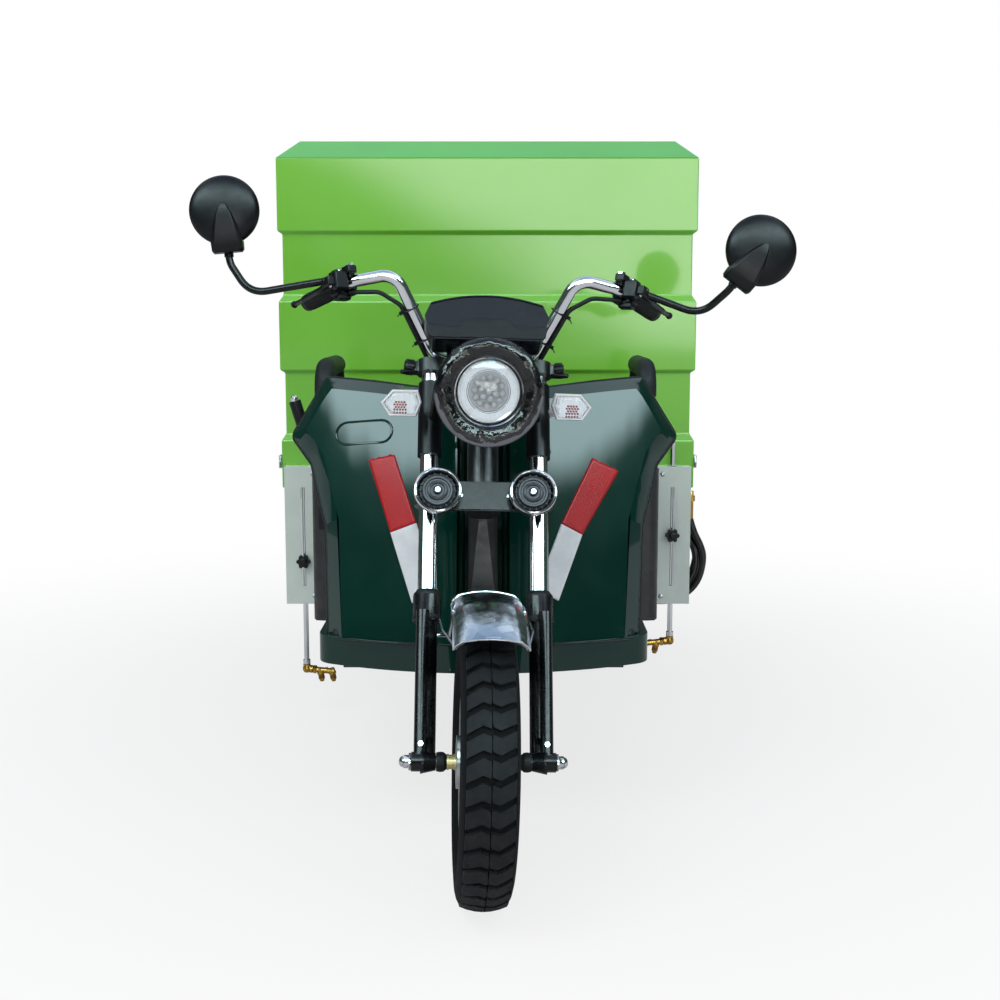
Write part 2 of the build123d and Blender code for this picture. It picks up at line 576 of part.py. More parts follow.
def build_frame():
    """Ladder frame with kicked-up rails, cross members, down tube and head tube."""
    low = FLOOR_TOP - FLOOR_T - RAIL_H / 2
    half = RAIL_H / 2
    front, kick_0, kick_1, rear = FRAME_FRONT, SEAT_BASE_REAR - 310, SEAT_BASE_REAR - 140, RAIL_REAR
    rail_line = ((front, low - half), (kick_0, low - half), (kick_1, RAIL_Z - half), (rear, RAIL_Z - half),
                 (rear, RAIL_Z + half), (kick_1 - 10, RAIL_Z + half), (kick_0 - 10, low + half),
                 (front, low + half))
    frame = plate(rail_line, (RAIL_X - RAIL_W / 2, RAIL_X + RAIL_W / 2))
    frame += mirrored(frame)
    crossbars = (
        # y middle, z middle
        (front + 20, low), (SEAT_BASE_FRONT + 40, low), (SEAT_BASE_REAR - 120, RAIL_Z),
        (BOX_FRONT + 184, RAIL_Z), (OUTRIGGER_Y[1], RAIL_Z), (OUTRIGGER_Y[2], RAIL_Z), (rear - 20, RAIL_Z))
    for y, z in crossbars:
        frame += block((-RAIL_X, RAIL_X), (y - 20, y + 20), (z - half, z + half))
    # Battery tray between the rails
    tray_top = FLOOR_TOP + 6
    frame += block((-215, 215), (SEAT_BASE_FRONT + 30, SEAT_BASE_REAR - 55), (tray_top - 8, tray_top))
    frame += block((-RAIL_X, RAIL_X), (SEAT_BASE_REAR - 340, SEAT_BASE_REAR - 298),
                   (low + half - 6, tray_top))
    # Outriggers carry the box's edges
    for y in OUTRIGGER_Y:
        frame += block((-BOX_WIDTH / 2 + 30, BOX_WIDTH / 2 - 30), (y - OUTRIGGER_W / 2, y + OUTRIGGER_W / 2),
                       (OUTRIGGER_LOW, RAIL_Z + half))
    head_low, head_high = LOWER_YOKE + YOKE_T + 1, UPPER_YOKE - 1
    head_back = F(0, STEM_OFFSET + HEAD_TUBE_R - 6, (head_low + head_high) / 2)
    foot = DOWN_TUBE_FOOT
    down_tube = (
        (foot, low - half), (front + 10, low - half), (front + 10, low + half), (foot + DOWN_TUBE_D, low + half),
        (foot + DOWN_TUBE_D, FLOOR_TOP + 30), (head_back.Y + 24, head_back.Z - 70),
        (head_back.Y + 24, head_back.Z + 30), (head_back.Y, head_back.Z + 30),
        (head_back.Y - 20, head_back.Z - 30), (foot, FLOOR_TOP + 50))
    frame += plate(down_tube, (-DOWN_TUBE_W / 2, DOWN_TUBE_W / 2))
    frame += rod(F(0, STEM_OFFSET, head_low), F(0, STEM_OFFSET, head_high), HEAD_TUBE_R)
    frame -= rod(F(0, STEM_OFFSET, head_low - 5), F(0, STEM_OFFSET, head_high + 5), STEM_R + RUNNING)
    # Spring hangers under the rails
    for y in (REAR_AXLE_Y - SPRING_HALF, REAR_AXLE_Y + SPRING_HALF):
        for x in (-RAIL_X, RAIL_X):
            frame += block((x - SPRING_W / 2 - GAP - 6, x + SPRING_W / 2 + GAP + 6), (y - 22, y + 22),
                           (SPRING_EYE_Z + 36, RAIL_Z - half + 1))
            for side in (-1, 1):
                inner = x + side * (SPRING_W / 2 + GAP)
                outer = inner + side * 6
                lug = block((min(inner, outer), max(inner, outer)), (y - 22, y + 22),
                            (SPRING_EYE_Z - 20, RAIL_Z - half + 1))
                frame += lug - rod((x - 60, y, SPRING_EYE_Z), (x + 60, y, SPRING_EYE_Z), 7)
    # Tow bar stub with an eye at the rear end
    frame += block((-22, 22), (rear - 30, TOW_EYE_Y), (TOW_Z - 10, TOW_Z + 10))
    frame += block((-22, 22), (rear - 30, rear), (TOW_Z - 10, RAIL_Z))
    frame += Pos(0, TOW_EYE_Y, TOW_Z) * Cylinder(26, 20)
    frame -= Pos(0, TOW_EYE_Y, TOW_Z) * Cylinder(TOW_EYE_R, 40)
    keep("main_frame", frame)


SPRING_HALF = 380
SPRING_W = 50
SPRING_EYE_Z = 420
LEAF_T = 8
TOW_EYE_R = 12.5
TOW_EYE_Y = REAR_END - 26
TOW_Z = 470


def build_rear_axle():
    """Beam axle with the drive motor and gear case on it, and leaf springs over it."""
    half = REAR_TRACK / 2
    inner = half - HUB_W / 2 - GAP
    axle = rod((-half - HUB_W / 2 - 14, REAR_AXLE_Y, TYRE_R), (half + HUB_W / 2 + 14, REAR_AXLE_Y, TYRE_R),
               AXLE_R * 1.5)
    axle += rod((-inner, REAR_AXLE_Y, TYRE_R), (inner, REAR_AXLE_Y, TYRE_R), 30)
    axle += Pos(40, REAR_AXLE_Y, TYRE_R) * Sphere(86)
    axle += rod((-40, REAR_AXLE_Y - 40, TYRE_R + 10), (-190, REAR_AXLE_Y - 40, TYRE_R + 10), 78)
    axle += rod((40, REAR_AXLE_Y - 40, TYRE_R + 10), (-60, REAR_AXLE_Y - 40, TYRE_R + 10), 60)
    for x in (-inner + 9, inner - 9):
        axle += rod((x - 9, REAR_AXLE_Y, TYRE_R), (x + 9, REAR_AXLE_Y, TYRE_R), 92)
    for x in (-RAIL_X, RAIL_X):
        axle += block((x - 30, x + 30), (REAR_AXLE_Y - 50, REAR_AXLE_Y + 50), (TYRE_R, TYRE_R + 36))
    keep("rear_axle", axle)

    pad_top = TYRE_R + 36
    count = 5
    # Leaves as arcs that touch at the middle: (half length, rise at the end) by order from the top
    rise = SPRING_EYE_Z - (pad_top + (count - 0.5) * LEAF_T)
    middle = (SPRING_HALF ** 2 + rise ** 2) / (2 * rise)
    centre_z = pad_top + (count - 0.5) * LEAF_T + middle
    for x in (-RAIL_X, RAIL_X):
        spring = None
        for order in range(count):
            top = middle + (order - 0.5) * LEAF_T
            half_length = SPRING_HALF - order * 70
            ring = Pos(x, REAR_AXLE_Y, centre_z) * (
                Cylinder(top + LEAF_T, SPRING_W, rotation=(0, 90, 0))
                - Cylinder(top, SPRING_W + 2, rotation=(0, 90, 0)))
            strip = block((x - 60, x + 60), (REAR_AXLE_Y - half_length, REAR_AXLE_Y + half_length),
                          (pad_top - 10, SPRING_EYE_Z + 40))
            leaf = ring & strip
            spring = leaf if spring is None else spring + leaf
        for side in (-1, 1):
            y = REAR_AXLE_Y + side * SPRING_HALF
            spring += rod((x - SPRING_W / 2, y, SPRING_EYE_Z), (x + SPRING_W / 2, y, SPRING_EYE_Z), 15)
            spring -= rod((x - 40, y, SPRING_EYE_Z), (x + 40, y, SPRING_EYE_Z), 7)
        keep("leaf_springs", spring)
    for x in (-RAIL_X, RAIL_X):
        for side in (-1, 1):
            y = REAR_AXLE_Y + side * SPRING_HALF
            pin = rod((x - SPRING_W / 2 - 12, y, SPRING_EYE_Z), (x + SPRING_W / 2 + 12, y, SPRING_EYE_Z), 6.9)
            keep("spring_pins", pin)


SHIELD_LEAN = 18
SHIELD_BASE_Y = FRONT_AXLE_Y + 286     # front of the sheet's middle at floor height
SHIELD_SWEEP = 92              # how far the side edges lie behind the middle
SHIELD_DEPTH = 60
BAND = 30
CHANNEL_HALF = 52
CHANNEL_DEPTH = 42
# Half outline of the sheet, from its top down: x, height up the sheet from the floor
SHIELD_OUTLINE = ((126, 500), (292, 530), (388, 410), (348, 336), (322, 204), (312, 0))
SHIELD_SIDE = 388
SHIELD_R = (SHIELD_SIDE ** 2 + SHIELD_SWEEP ** 2) / (2 * SHIELD_SWEEP)


def shield_front(x, inset=0):
    """Where the upright sheet's curved front lies at this x."""
    return SHIELD_BASE_Y + SHIELD_R - sqrt((SHIELD_R - inset) ** 2 - x ** 2)


def shield_solid(inset):
    """The upright form behind the shield's front face, drawn in by the inset, with a bevelled front edge."""
    points = list(SHIELD_OUTLINE) + [(-x, z) for x, z in reversed(SHIELD_OUTLINE)]
    outline = make_face(Polyline(*points, close=True).edges())
    if inset:
        outline = offset(outline, -inset, kind=Kind.INTERSECTION)
    prism = Pos(0, 0, FLOOR_TOP) * extrude(Plane.XZ * outline, 1500, both=True)
    slab = Cylinder(SHIELD_R - inset, 1400) - Cylinder(SHIELD_R - inset - SHIELD_DEPTH, 1400)
    slab = Pos(0, SHIELD_BASE_Y + SHIELD_R, FLOOR_TOP) * slab
    slab &= block((-600, 600), (SHIELD_BASE_Y - 20, SHIELD_BASE_Y + 300), (FLOOR_TOP - 20, FLOOR_TOP + 620))
    solid = prism & slab
    front_edges = []
    for edge in solid.edges():
        middle = edge @ 0.5
        if abs(middle.Y - shield_front(middle.X, inset)) < 1 and middle.Z > FLOOR_TOP + 10:
            front_edges.append(edge)
    return chamfer(front_edges, BAND)


def lean(solid):
    """The upright sheet turned back about the floor's front edge."""
    return solid.rotate(Axis((0, SHIELD_BASE_Y, FLOOR_TOP), (1, 0, 0)), -SHIELD_LEAN)


def build_shield():
    """Pressed front sheet with a bevelled band round it and a channel for the down tube."""
    outer = shield_solid(0)
    shield = outer - shield_solid(SHEET)
    high = (FLOOR_TOP - 1, FLOOR_TOP + 600)
    front, back = SHIELD_BASE_Y, SHIELD_BASE_Y + CHANNEL_DEPTH
    wall = block((-CHANNEL_HALF - SHEET, CHANNEL_HALF + SHEET), (front - 10, back + SHEET), high)
    channel = block((-CHANNEL_HALF, CHANNEL_HALF), (front - 40, back), high)
    shield = shield + (wall & outer) - channel
    for x in (-CHANNEL_HALF / 2, CHANNEL_HALF / 2):
        shield += block((x - 4, x + 4), (back - 9, back + 1), (FLOOR_TOP + 26, FLOOR_TOP + 440))
    shield = lean(shield)
    shield &= block((-500, 500), (SHIELD_BASE_Y - 240, SHIELD_BASE_Y + 360), (FLOOR_TOP, FLOOR_TOP + 700))
    keep("leg_shield", shield)


FLOOR_HALF = 330
FLOOR_CORNER = 46


def floor_slab(inset, z):
    """The foot platform's plan, drawn in at its front and sides, between two heights."""
    x = FLOOR_HALF - inset
    middle = SHIELD_BASE_Y - 12 + inset
    corner = middle + SHIELD_SWEEP
    with BuildPart() as made:
        with BuildSketch(Plane.XY.offset(z[0])):
            with BuildLine():
                ThreePointArc((-x, corner), (0, middle), (x, corner))
                Polyline((x, corner), (x, SEAT_BASE_FRONT), (-x, SEAT_BASE_FRONT), (-x, corner))
            make_face()
        extrude(amount=z[1] - z[0])
        fillet(made.edges().filter_by(Axis.Z).sort_by(Axis.Y)[:2], FLOOR_CORNER - inset)
    return made.part


def build_floor():
    """Foot platform: a pan whose front apron follows the shield's sweep."""
    floor = floor_slab(0, (FLOOR_TOP - APRON_H, FLOOR_TOP))
    floor -= floor_slab(SHEET, (FLOOR_TOP - APRON_H - 10, FLOOR_TOP - FLOOR_T))
    floor -= block((-DOWN_TUBE_W / 2 - 1, DOWN_TUBE_W / 2 + 1), (DOWN_TUBE_FOOT - 1, FRAME_FRONT + 12),
                   (FLOOR_TOP - 20, FLOOR_TOP + 10))
    keep("floor_pan", floor)


ARM_Z = 880


def build_seat():
    x = SEAT_BASE_W / 2
    y = (SEAT_BASE_FRONT, SEAT_BASE_REAR)
    z = (SEAT_BASE_LOW, SEAT_BASE_TOP)
    base = block((-x, x), y, z)
    base = fillet(base.edges().filter_by(Axis.Z), 24)
    base -= block((-x + 8, x - 8), (y[0] + 8, y[1] - 8), (z[0] - 1, z[1] - 8))
    base -= block((-x + 30, x - 30), (y[1] - 40, y[1] + 1), (z[0] - 1, BOX_BOTTOM + 6))
    for rail_x in (-RAIL_X, RAIL_X):
        base -= block((rail_x - RAIL_W / 2 - 2, rail_x + RAIL_W / 2 + 2), (y[0] - 1, y[0] + 30),
                      (z[0] - 1, FLOOR_TOP - FLOOR_T + 2))
    keep("seat_base", base)

    cushion = block((-x + 50, x - 50), (y[0] - 20, y[1] - 40), (z[1] + GAP, z[1] + 72))
    cushion = fillet(cushion.edges().filter_by(Axis.Z), 40)
    keep("seat_cushion", fillet(cushion.faces().sort_by(Axis.Z)[-1].edges(), 20))

    post_y = y[1] - 26
    back = block((-x + 84, x - 84), (post_y - 34, post_y + 26), (SEAT_BASE_TOP + 78, SEAT_BASE_TOP + 166))
    back = fillet(back.edges().filter_by(Axis.Y), 24)
    keep("seat_backrest", back)
    for px in (-180, 180):
        post = block((px - 14, px + 14), (post_y + 5, post_y + 17), (SEAT_BASE_TOP, SEAT_BASE_TOP + 78 - GAP))
        keep("backrest_posts", post)

    for side in (-1, 1):
        rail_x = side * (x - 26)
        rail = bent_bar([(rail_x, y[0] + 60, SEAT_BASE_TOP), (rail_x, y[0] + 60, ARM_Z),
                         (rail_x, y[1] - 110, ARM_Z), (rail_x, y[1] - 110, SEAT_BASE_TOP)], 52, 14)
        pad = bent_bar([(rail_x, y[0] + 62, ARM_Z - 62), (rail_x, y[0] + 62, ARM_Z),
                        (rail_x, y[1] - 160, ARM_Z)], 50, 22)
        keep("armrests", rail + pad)

    battery = block((-215, 215), (y[0] + 70, y[1] - 60), (FLOOR_TOP + 6, FLOOR_TOP + 124))
    keep("battery_pack", battery)


def build_controls():
    """Parking brake lever before the seat base's corner, and the foot brake on the floor."""
    side, front = -SEAT_BASE_W / 2, SEAT_BASE_FRONT
    root = (side + 36, front - 18, 590)
    knee = (side + 16, front - 32, 700)
    tip = (side - 26, front - 44, 846)
    lever = rod(root, knee, 7) + Pos(*knee) * Sphere(7) + rod(knee, tip, 7)
    lever += rod(along(tip, knee, 4), along(tip, knee, 112), 13)
    lever += block((side + 20, side + 52), (front - 26, front - GAP), (560, 620))
    keep("parking_brake_lever", lever)

    y = FRAME_FRONT + 115
    pedal = block((120, 190), (y - 30, y + 30), (FLOOR_TOP + 70, FLOOR_TOP + 80))
    pedal = pedal.rotate(Axis((155, y, FLOOR_TOP + 75), (1, 0, 0)), 40)
    pedal += rod((155, y, FLOOR_TOP + 73), (155, y - 60, FLOOR_TOP + 9), 7)
    pedal += block((135, 175), (y - 90, y - 40), (FLOOR_TOP, FLOOR_TOP + 12))
    keep("brake_pedal", pedal)


# Box

RIBS = (
    # low z, high z of each proud band
    (1232, BOX_EAVE), (886, 1056), (BOX_BOTTOM, 706))
RIB_UNDER = 8
RIB_OVER = 18


def ribbed_wall(length, low, high):
    """An upright wall along X, proud bands at y 0 outwards to -Y, its inner face flat at the wall's depth."""
    line = [(BOX_WALL, low), (BOX_WALL, high)]
    for band_low, band_high in RIBS:
        top = min(band_high, high)
        if top < high:
            line += [(RIB_DEPTH, top + RIB_OVER)]
        line += [(0, top)]
        bottom = max(band_low, low)
        line += [(0, bottom)]
        if bottom > low:
            line += [(RIB_DEPTH, bottom - RIB_UNDER)]
    return plate(line, (-length / 2, length / 2))


def box_section():
    """The box's outer form across, ribs included, as one long bar along Y."""
    wall = Pos(BOX_WIDTH / 2, 0, 0) * Rot(0, 0, 90) * ribbed_wall(4 * BOX_LENGTH, BOX_BOTTOM, BOX_EAVE)
    inside = BOX_WIDTH / 2 - BOX_WALL
    middle = block((-inside, inside), (-2 * BOX_LENGTH, 2 * BOX_LENGTH), (BOX_BOTTOM, BOX_EAVE))
    return middle + wall + mirrored(wall)


def build_box():
    middle_y = (BOX_FRONT + BOX_REAR) / 2
    half = BOX_WIDTH / 2
    low, high = BOX_BOTTOM, BOX_EAVE
    front = Pos(0, BOX_FRONT, 0) * ribbed_wall(BOX_WIDTH, low, high)
    keep("box_front_panel", front & box_section())

    door_y = BOX_REAR - BOX_WALL
    length = door_y - BOX_FRONT - BOX_WALL
    wall = ribbed_wall(length, low, high)
    left = Pos(half, (BOX_FRONT + BOX_WALL + door_y) / 2, 0) * Rot(0, 0, 90) * wall
    right = Pos(-half, (BOX_FRONT + BOX_WALL + door_y) / 2, 0) * Rot(0, 0, -90) * wall
    keep("box_side_panels", left, right)

    floor = block((-half + BOX_WALL, half - BOX_WALL), (BOX_FRONT + BOX_WALL, door_y), (low, low + 30))
    keep("box_floor", floor)

    base = Plane.XY.offset(high)
    def cap(inset, rise):
        lower = base * Pos(0, middle_y) * Rectangle(BOX_WIDTH - 2 * inset, BOX_LENGTH - 2 * inset)
        upper = Plane.XY.offset(high + rise) * Pos(0, middle_y) * Rectangle(
            BOX_WIDTH - 2 * inset - 2 * ROOF_INSET, BOX_LENGTH - 2 * inset - 2 * ROOF_INSET)
        return loft([lower, upper])

    roof = cap(0, ROOF_RISE) - cap(26, ROOF_RISE - 22)
    filler = Pos(0, FILLER_Y, 0) * Cylinder(FILLER_R, 400)
    neck = Pos(0, FILLER_Y, high + ROOF_RISE - 22) * Cylinder(
        FILLER_R + 8, 34, align=(Align.CENTER, Align.CENTER, Align.MIN))
    roof = roof + neck - Pos(0, 0, high) * filler
    for x in (-30, 30):
        roof += block((x - 8, x + 8), (FILLER_Y + FILLER_R + 16, FILLER_Y + FILLER_R + 44),
                      (high + ROOF_RISE - 2, LID_PIN_Z + 6))
    roof -= rod((-60, LID_PIN_Y, LID_PIN_Z), (60, LID_PIN_Y, LID_PIN_Z), 4 + RUNNING)
    keep("box_roof", roof)

    lid = Pos(0, FILLER_Y, high + ROOF_RISE + 12 + GAP) * Cylinder(
        FILLER_R + 12, 8, align=(Align.CENTER, Align.CENTER, Align.MIN))
    lid += block((-18, 18), (FILLER_Y + FILLER_R, LID_PIN_Y + 6),
                 (high + ROOF_RISE + 12 + GAP, high + ROOF_RISE + 20))
    lid += rod((-40, LID_PIN_Y, LID_PIN_Z), (40, LID_PIN_Y, LID_PIN_Z), 4)
    lid += block((-15, 15), (FILLER_Y - FILLER_R - 24, FILLER_Y - FILLER_R), (high + ROOF_RISE + 13,
                                                                              high + ROOF_RISE + 19))
    keep("filler_lid", lid)

    build_doors(door_y, low, high)


FILLER_Y = BOX_FRONT + 484
FILLER_R = 110
LID_PIN_Y = FILLER_Y + FILLER_R + 34
LID_PIN_Z = BOX_EAVE + ROOF_RISE + 16
DOOR_GAP = 5
HINGE_R = 9


def build_doors(door_y, low, high):
    """Two ribbed rear doors, each on three barrel hinges at the box's corner."""
    half = BOX_WIDTH / 2
    width = half - DOOR_GAP
    for side in (-1, 1):
        leaf = ribbed_wall(width, low + DOOR_GAP, high - DOOR_GAP)
        leaf = Pos(side * (width / 2 + DOOR_GAP * 3 / 4), BOX_REAR, 0) * Rot(0, 0, 180) * leaf
        leaf -= block((-half - 5, half + 5), (door_y - 1, door_y + GAP), (low, high))
        leaf &= box_section()
        handle = block((side * 46 - 9, side * 46 + 9), (BOX_REAR - 2, BOX_REAR + 10), (930, 1020))
        leaf += handle
        pin_x, pin_y = side * HINGE_X, HINGE_Y
        for z in HINGE_ZS:
            barrel = Pos(pin_x, pin_y, z) * Cylinder(HINGE_R, 34)
            tongue = block((min(side * (half - 40), pin_x), max(side * (half - 40), pin_x)),
                           (pin_y - 4, pin_y + 4), (z - 17, z + 17))
            leaf += barrel + tongue
            leaf += Pos(pin_x, pin_y, z) * Cylinder(5, 78)
        keep("rear_door_left" if side > 0 else "rear_door_right", leaf)
        for z in HINGE_ZS:
            for end in (-1, 1):
                knuckle = Pos(pin_x, pin_y, z + end * 28) * Cylinder(HINGE_R, 20)
                arm = block((min(pin_x, side * half), max(pin_x, side * half)),
                            (door_y - 50, pin_y), (z + end * 28 - 10, z + end * 28 + 10))
                piece = knuckle + arm
                piece -= Pos(pin_x, pin_y, z) * Cylinder(5 + RUNNING, 120)
                keep("door_hinge_brackets", piece)


HINGE_X = BOX_WIDTH / 2 + 12
HINGE_Y = BOX_REAR + 4
HINGE_ZS = (660, 980, 1320)


def build_load():
    """Water tank and pump set inside the box."""
    side, top = BOX_WIDTH / 2 - 95, BOX_EAVE - 80
    tank = block((-side, side), (BOX_FRONT + 60, BOX_FRONT + 964), (BOX_BOTTOM + 30, top))
    tank = fillet(tank.edges().filter_by(Axis.Y), 60)
    tank += Pos(0, FILLER_Y, top) * Cylinder(70, 30, align=(Align.CENTER, Align.CENTER, Align.MIN))
    keep("water_tank", tank)
    y = BOX_REAR - 276
    pump = block((-180, 180), (y - 130, y + 130), (BOX_BOTTOM + 30, BOX_BOTTOM + 60))
    pump += rod((-150, y, BOX_BOTTOM + 150), (60, y, BOX_BOTTOM + 150), 88)
    pump += block((50, 160), (y - 70, y + 70), (BOX_BOTTOM + 50, BOX_BOTTOM + 250))
    pump += block((-140, 50), (y - 50, y + 50), (BOX_BOTTOM + 50, BOX_BOTTOM + 120))
    keep("pump_set", pump)


PLATE_W = 92
PLATE_LOW = 292
PLATE_HIGH = 644
PLATE_Y = BOX_FRONT - 40
PLATE_T = 5
PLATE_X = BOX_WIDTH / 2 - 57
SLOT_LOW = 338
SLOT_HIGH = 592
SLOT_W = 10
PIPE_R = 6.5
NOZZLES = {
    # side: name, knob's height, foot's drop below the knob
    -1: ("nozzle_bar_right", 403, 285),
    1: ("nozzle_bar_left", 470, 278),
}


def build_nozzles():
    """Slotted plates at the box's front corners; in each a pipe with nozzles slides up and down."""
    for side, (name, knob_z, drop) in NOZZLES.items():
        x = side * PLATE_X
        sheet = block((x - PLATE_W / 2, x + PLATE_W / 2), (PLATE_Y, PLATE_Y + PLATE_T), (PLATE_LOW, PLATE_HIGH))
        flange = block((x - PLATE_W / 2, x + PLATE_W / 2), (PLATE_Y + PLATE_T, BOX_FRONT - GAP),
                       (PLATE_HIGH - 8, PLATE_HIGH))
        sheet += flange
        inner = side * (PLATE_X - PLATE_W / 2)
        web = block((min(inner, inner + side * 5), max(inner, inner + side * 5)), (PLATE_Y, BOX_FRONT - GAP),
                    (BOX_BOTTOM - 20, PLATE_HIGH))
        sheet += web
        sheet -= block((x - SLOT_W / 2, x + SLOT_W / 2), (PLATE_Y - 5, PLATE_Y + PLATE_T + 2),
                       (SLOT_LOW, SLOT_HIGH))
        pipe_y = PLATE_Y + PLATE_T + 13
        sheet -= Pos(x, pipe_y, PLATE_HIGH) * Cylinder(PIPE_R + 5.5, 40)
        keep("nozzle_plates", sheet)

        foot = knob_z - drop
        bar = rod((x, pipe_y, foot), (x, pipe_y, knob_z + 230), PIPE_R)
        bar += block((x - 14, x + 14), (PLATE_Y + PLATE_T + 2, pipe_y + 12), (knob_z - 16, knob_z + 16))
        bar += rod((x, PLATE_Y - 16, knob_z), (x, pipe_y, knob_z), SLOT_W / 2 - GAP)
        bar += rod((x, PLATE_Y - 22, knob_z), (x, PLATE_Y - 6, knob_z), 12)
        for angle in range(0, 360, 60):
            bar += Pos(x + 13 * cos(radians(angle)), PLATE_Y - 14, knob_z + 13 * sin(radians(angle))) * Sphere(5)
        bar += Pos(x, pipe_y, foot) * Sphere(11)
        bar += rod((x, pipe_y, foot), (x - side * 70, pipe_y, foot - 8), 7)
        for reach in (34, 64):
            bar += rod((x - side * reach, pipe_y, foot - 2), (x - side * (reach + 5), pipe_y, foot - 32), 7)
        keep(name, bar)


HOSE_R = 8.5
COIL_X = BOX_WIDTH / 2 - 73
COIL_Y = BOX_FRONT + 76
COIL_Z = 388
COIL_OUTER = 118
COIL_LAYERS = 2
COIL_TURNS = 3                 # side by side in each layer
UNION_X = BOX_WIDTH / 2 - 1
UNION_Y = BOX_FRONT + 42
UNION_LOW = 500
COUPLING_R = 11


def build_hose():
    """Pressure hose in a coil on its hanger, led from the union under the box to its coupling."""
    inner = COIL_OUTER - COIL_LAYERS * 2 * HOSE_R
    depth = COIL_TURNS * HOSE_R * 2
    ring = Rot(90, 0, 0) * (Cylinder(COIL_OUTER, depth) - Cylinder(inner, depth + 2))
    keep("hose_coil", Pos(COIL_X, COIL_Y, COIL_Z) * ring)

    hook_z = COIL_Z + inner - 8 - GAP
    back = COIL_Y + depth / 2 + 14
    hook = rod((COIL_X, COIL_Y - depth / 2 - 8, hook_z), (COIL_X, back, hook_z), 8)
    hook += Pos(COIL_X, back, hook_z) * Sphere(8)
    hook += rod((COIL_X, back, hook_z), (COIL_X, back, BOX_BOTTOM - GAP), 8)
    hook += block((COIL_X - 20, COIL_X + 20), (back - 14, back + 14), (BOX_BOTTOM - 6, BOX_BOTTOM - GAP))
    keep("hose_hanger", hook)

    x, y = UNION_X, UNION_Y
    union = rod((x, y, UNION_LOW), (x, y, UNION_LOW + 72), 8)
    union += Plane(origin=(x, y, UNION_LOW + 46)).location * extrude(RegularPolygon(12, 6), 14)
    union += block((x - 60, x - 7), (y - 12, y + 12), (UNION_LOW + 60, UNION_LOW + 72))
    union += block((x - 60, x - 36), (y - 12, OUTRIGGER_Y[0] - OUTRIGGER_W / 2),
                   (UNION_LOW + 60, UNION_LOW + 72))
    keep("hose_union", union)
    # The lead bends down from the union and comes in before the ring's outer turn
    edge = COIL_X + COIL_OUTER - HOSE_R
    front = COIL_Y - depth / 2 - HOSE_R - GAP
    lead = bent_bar([(x, front, UNION_LOW), (x, front, UNION_LOW - 34), (edge - 4, front, COIL_Z + 30),
                     (edge, front, COIL_Z + 4)], 60, HOSE_R)
    keep("hose_lead", lead)

    end_x = COIL_X - sqrt(inner ** 2 - 24 ** 2) + COUPLING_R + GAP
    coupling = rod((end_x, COIL_Y, COIL_Z - 24), (end_x, COIL_Y, COIL_Z + 6), COUPLING_R)
    coupling += rod((end_x, COIL_Y, COIL_Z + 4), (end_x, COIL_Y, COIL_Z + 22), COUPLING_R - 3)
    keep("hose_coupling", coupling)


def build_rear():
    """Rear bumper with lamps, blank plate holder and mudguards."""
    front, back = RAIL_REAR + 4, RAIL_REAR + 44
    bar = block((-430, 430), (front, back), (500, 560))
    bar = fillet(bar.edges().filter_by(Axis.Y), 12)
    for x in (-RAIL_X, RAIL_X):
        bar += block((x - 20, x + 20), (RAIL_REAR + GAP, front + 6), (520, 560))
    holder = block((-120, 120), (back - 1, back + 6), (548, 580))
    holder += block((-120, 120), (back + 4, back + 8), (500, 580))
    for x in (-PLATE_HOLES / 2, PLATE_HOLES / 2):
        hole = rod((x, front - 20, 540), (x, back + 30, 540), 3.25)
        holder -= hole
        bar -= hole
    keep("rear_bumper", bar + holder)
    for side in (-1, 1):
        middle = side * LAMP_X
        lamp = block((middle - 42, middle + 42), (back + GAP, back + 26), (512, 552))
        lamp = fillet(lamp.edges().filter_by(Axis.Y), 8)
        keep("tail_lamps", lamp)


LAMP_X = 385
PLATE_HOLES = 150
GUARD_R = TYRE_R + 34


def build_mudguards():
    """A half-round guard over each rear wheel, hung from the box's underside."""
    for side in (-1, 1):
        x = side * REAR_TRACK / 2
        half = TYRE_W / 2 + 14
        ring = Pos(x, REAR_AXLE_Y, TYRE_R) * (
            Cylinder(GUARD_R, 2 * half, rotation=(0, 90, 0)) - Cylinder(GUARD_R - 4, 2 * half + 2, rotation=(0, 90, 0)))
        ring &= block((x - 100, x + 100), (REAR_AXLE_Y - 400, REAR_AXLE_Y + 400), (TYRE_R + 40, 700))
        hanger = block((x - 30, x + 30), (REAR_AXLE_Y - 20, REAR_AXLE_Y + 20), (TYRE_R + GUARD_R - 3, BOX_BOTTOM))
        keep("rear_mudguards", ring + hanger)


build_steering()
keep_turned("front_tyre", Pos(*AXLE) * tyre())
keep_turned("front_rim", Pos(*AXLE) * rim(AXLE_R))
for side_name, side_x in (("left", REAR_TRACK / 2), ("right", -REAR_TRACK / 2)):
    at = Pos(side_x, REAR_AXLE_Y, TYRE_R) * Rot(0, 0, 0 if side_x > 0 else 180)
    keep("rear_tyre_" + side_name, at * tyre())
    keep("rear_rim_" + side_name, at * rim(AXLE_R * 1.5 + RUNNING))
build_frame()
build_rear_axle()
build_shield()
build_floor()
build_seat()
build_controls()
build_box()
build_load()
build_nozzles()
build_hose()
build_rear()
build_mudguards()

os.makedirs("parts", exist_ok=True)
for node, solids in parts.items():
    bodies = [body for solid in solids for body in solid.solids()]
    export_step(Compound(children=bodies) if len(bodies) > 1 else bodies[0], f"parts/{node}.step")
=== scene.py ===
"""Finish of the electric sanitation tricycle. Lengths are millimetres until a piece is put in place."""
import json
from math import atan2, cos, degrees, pi, radians, sin, sqrt, tan, tau

import bmesh
import bpy
from mathutils import Matrix, Vector

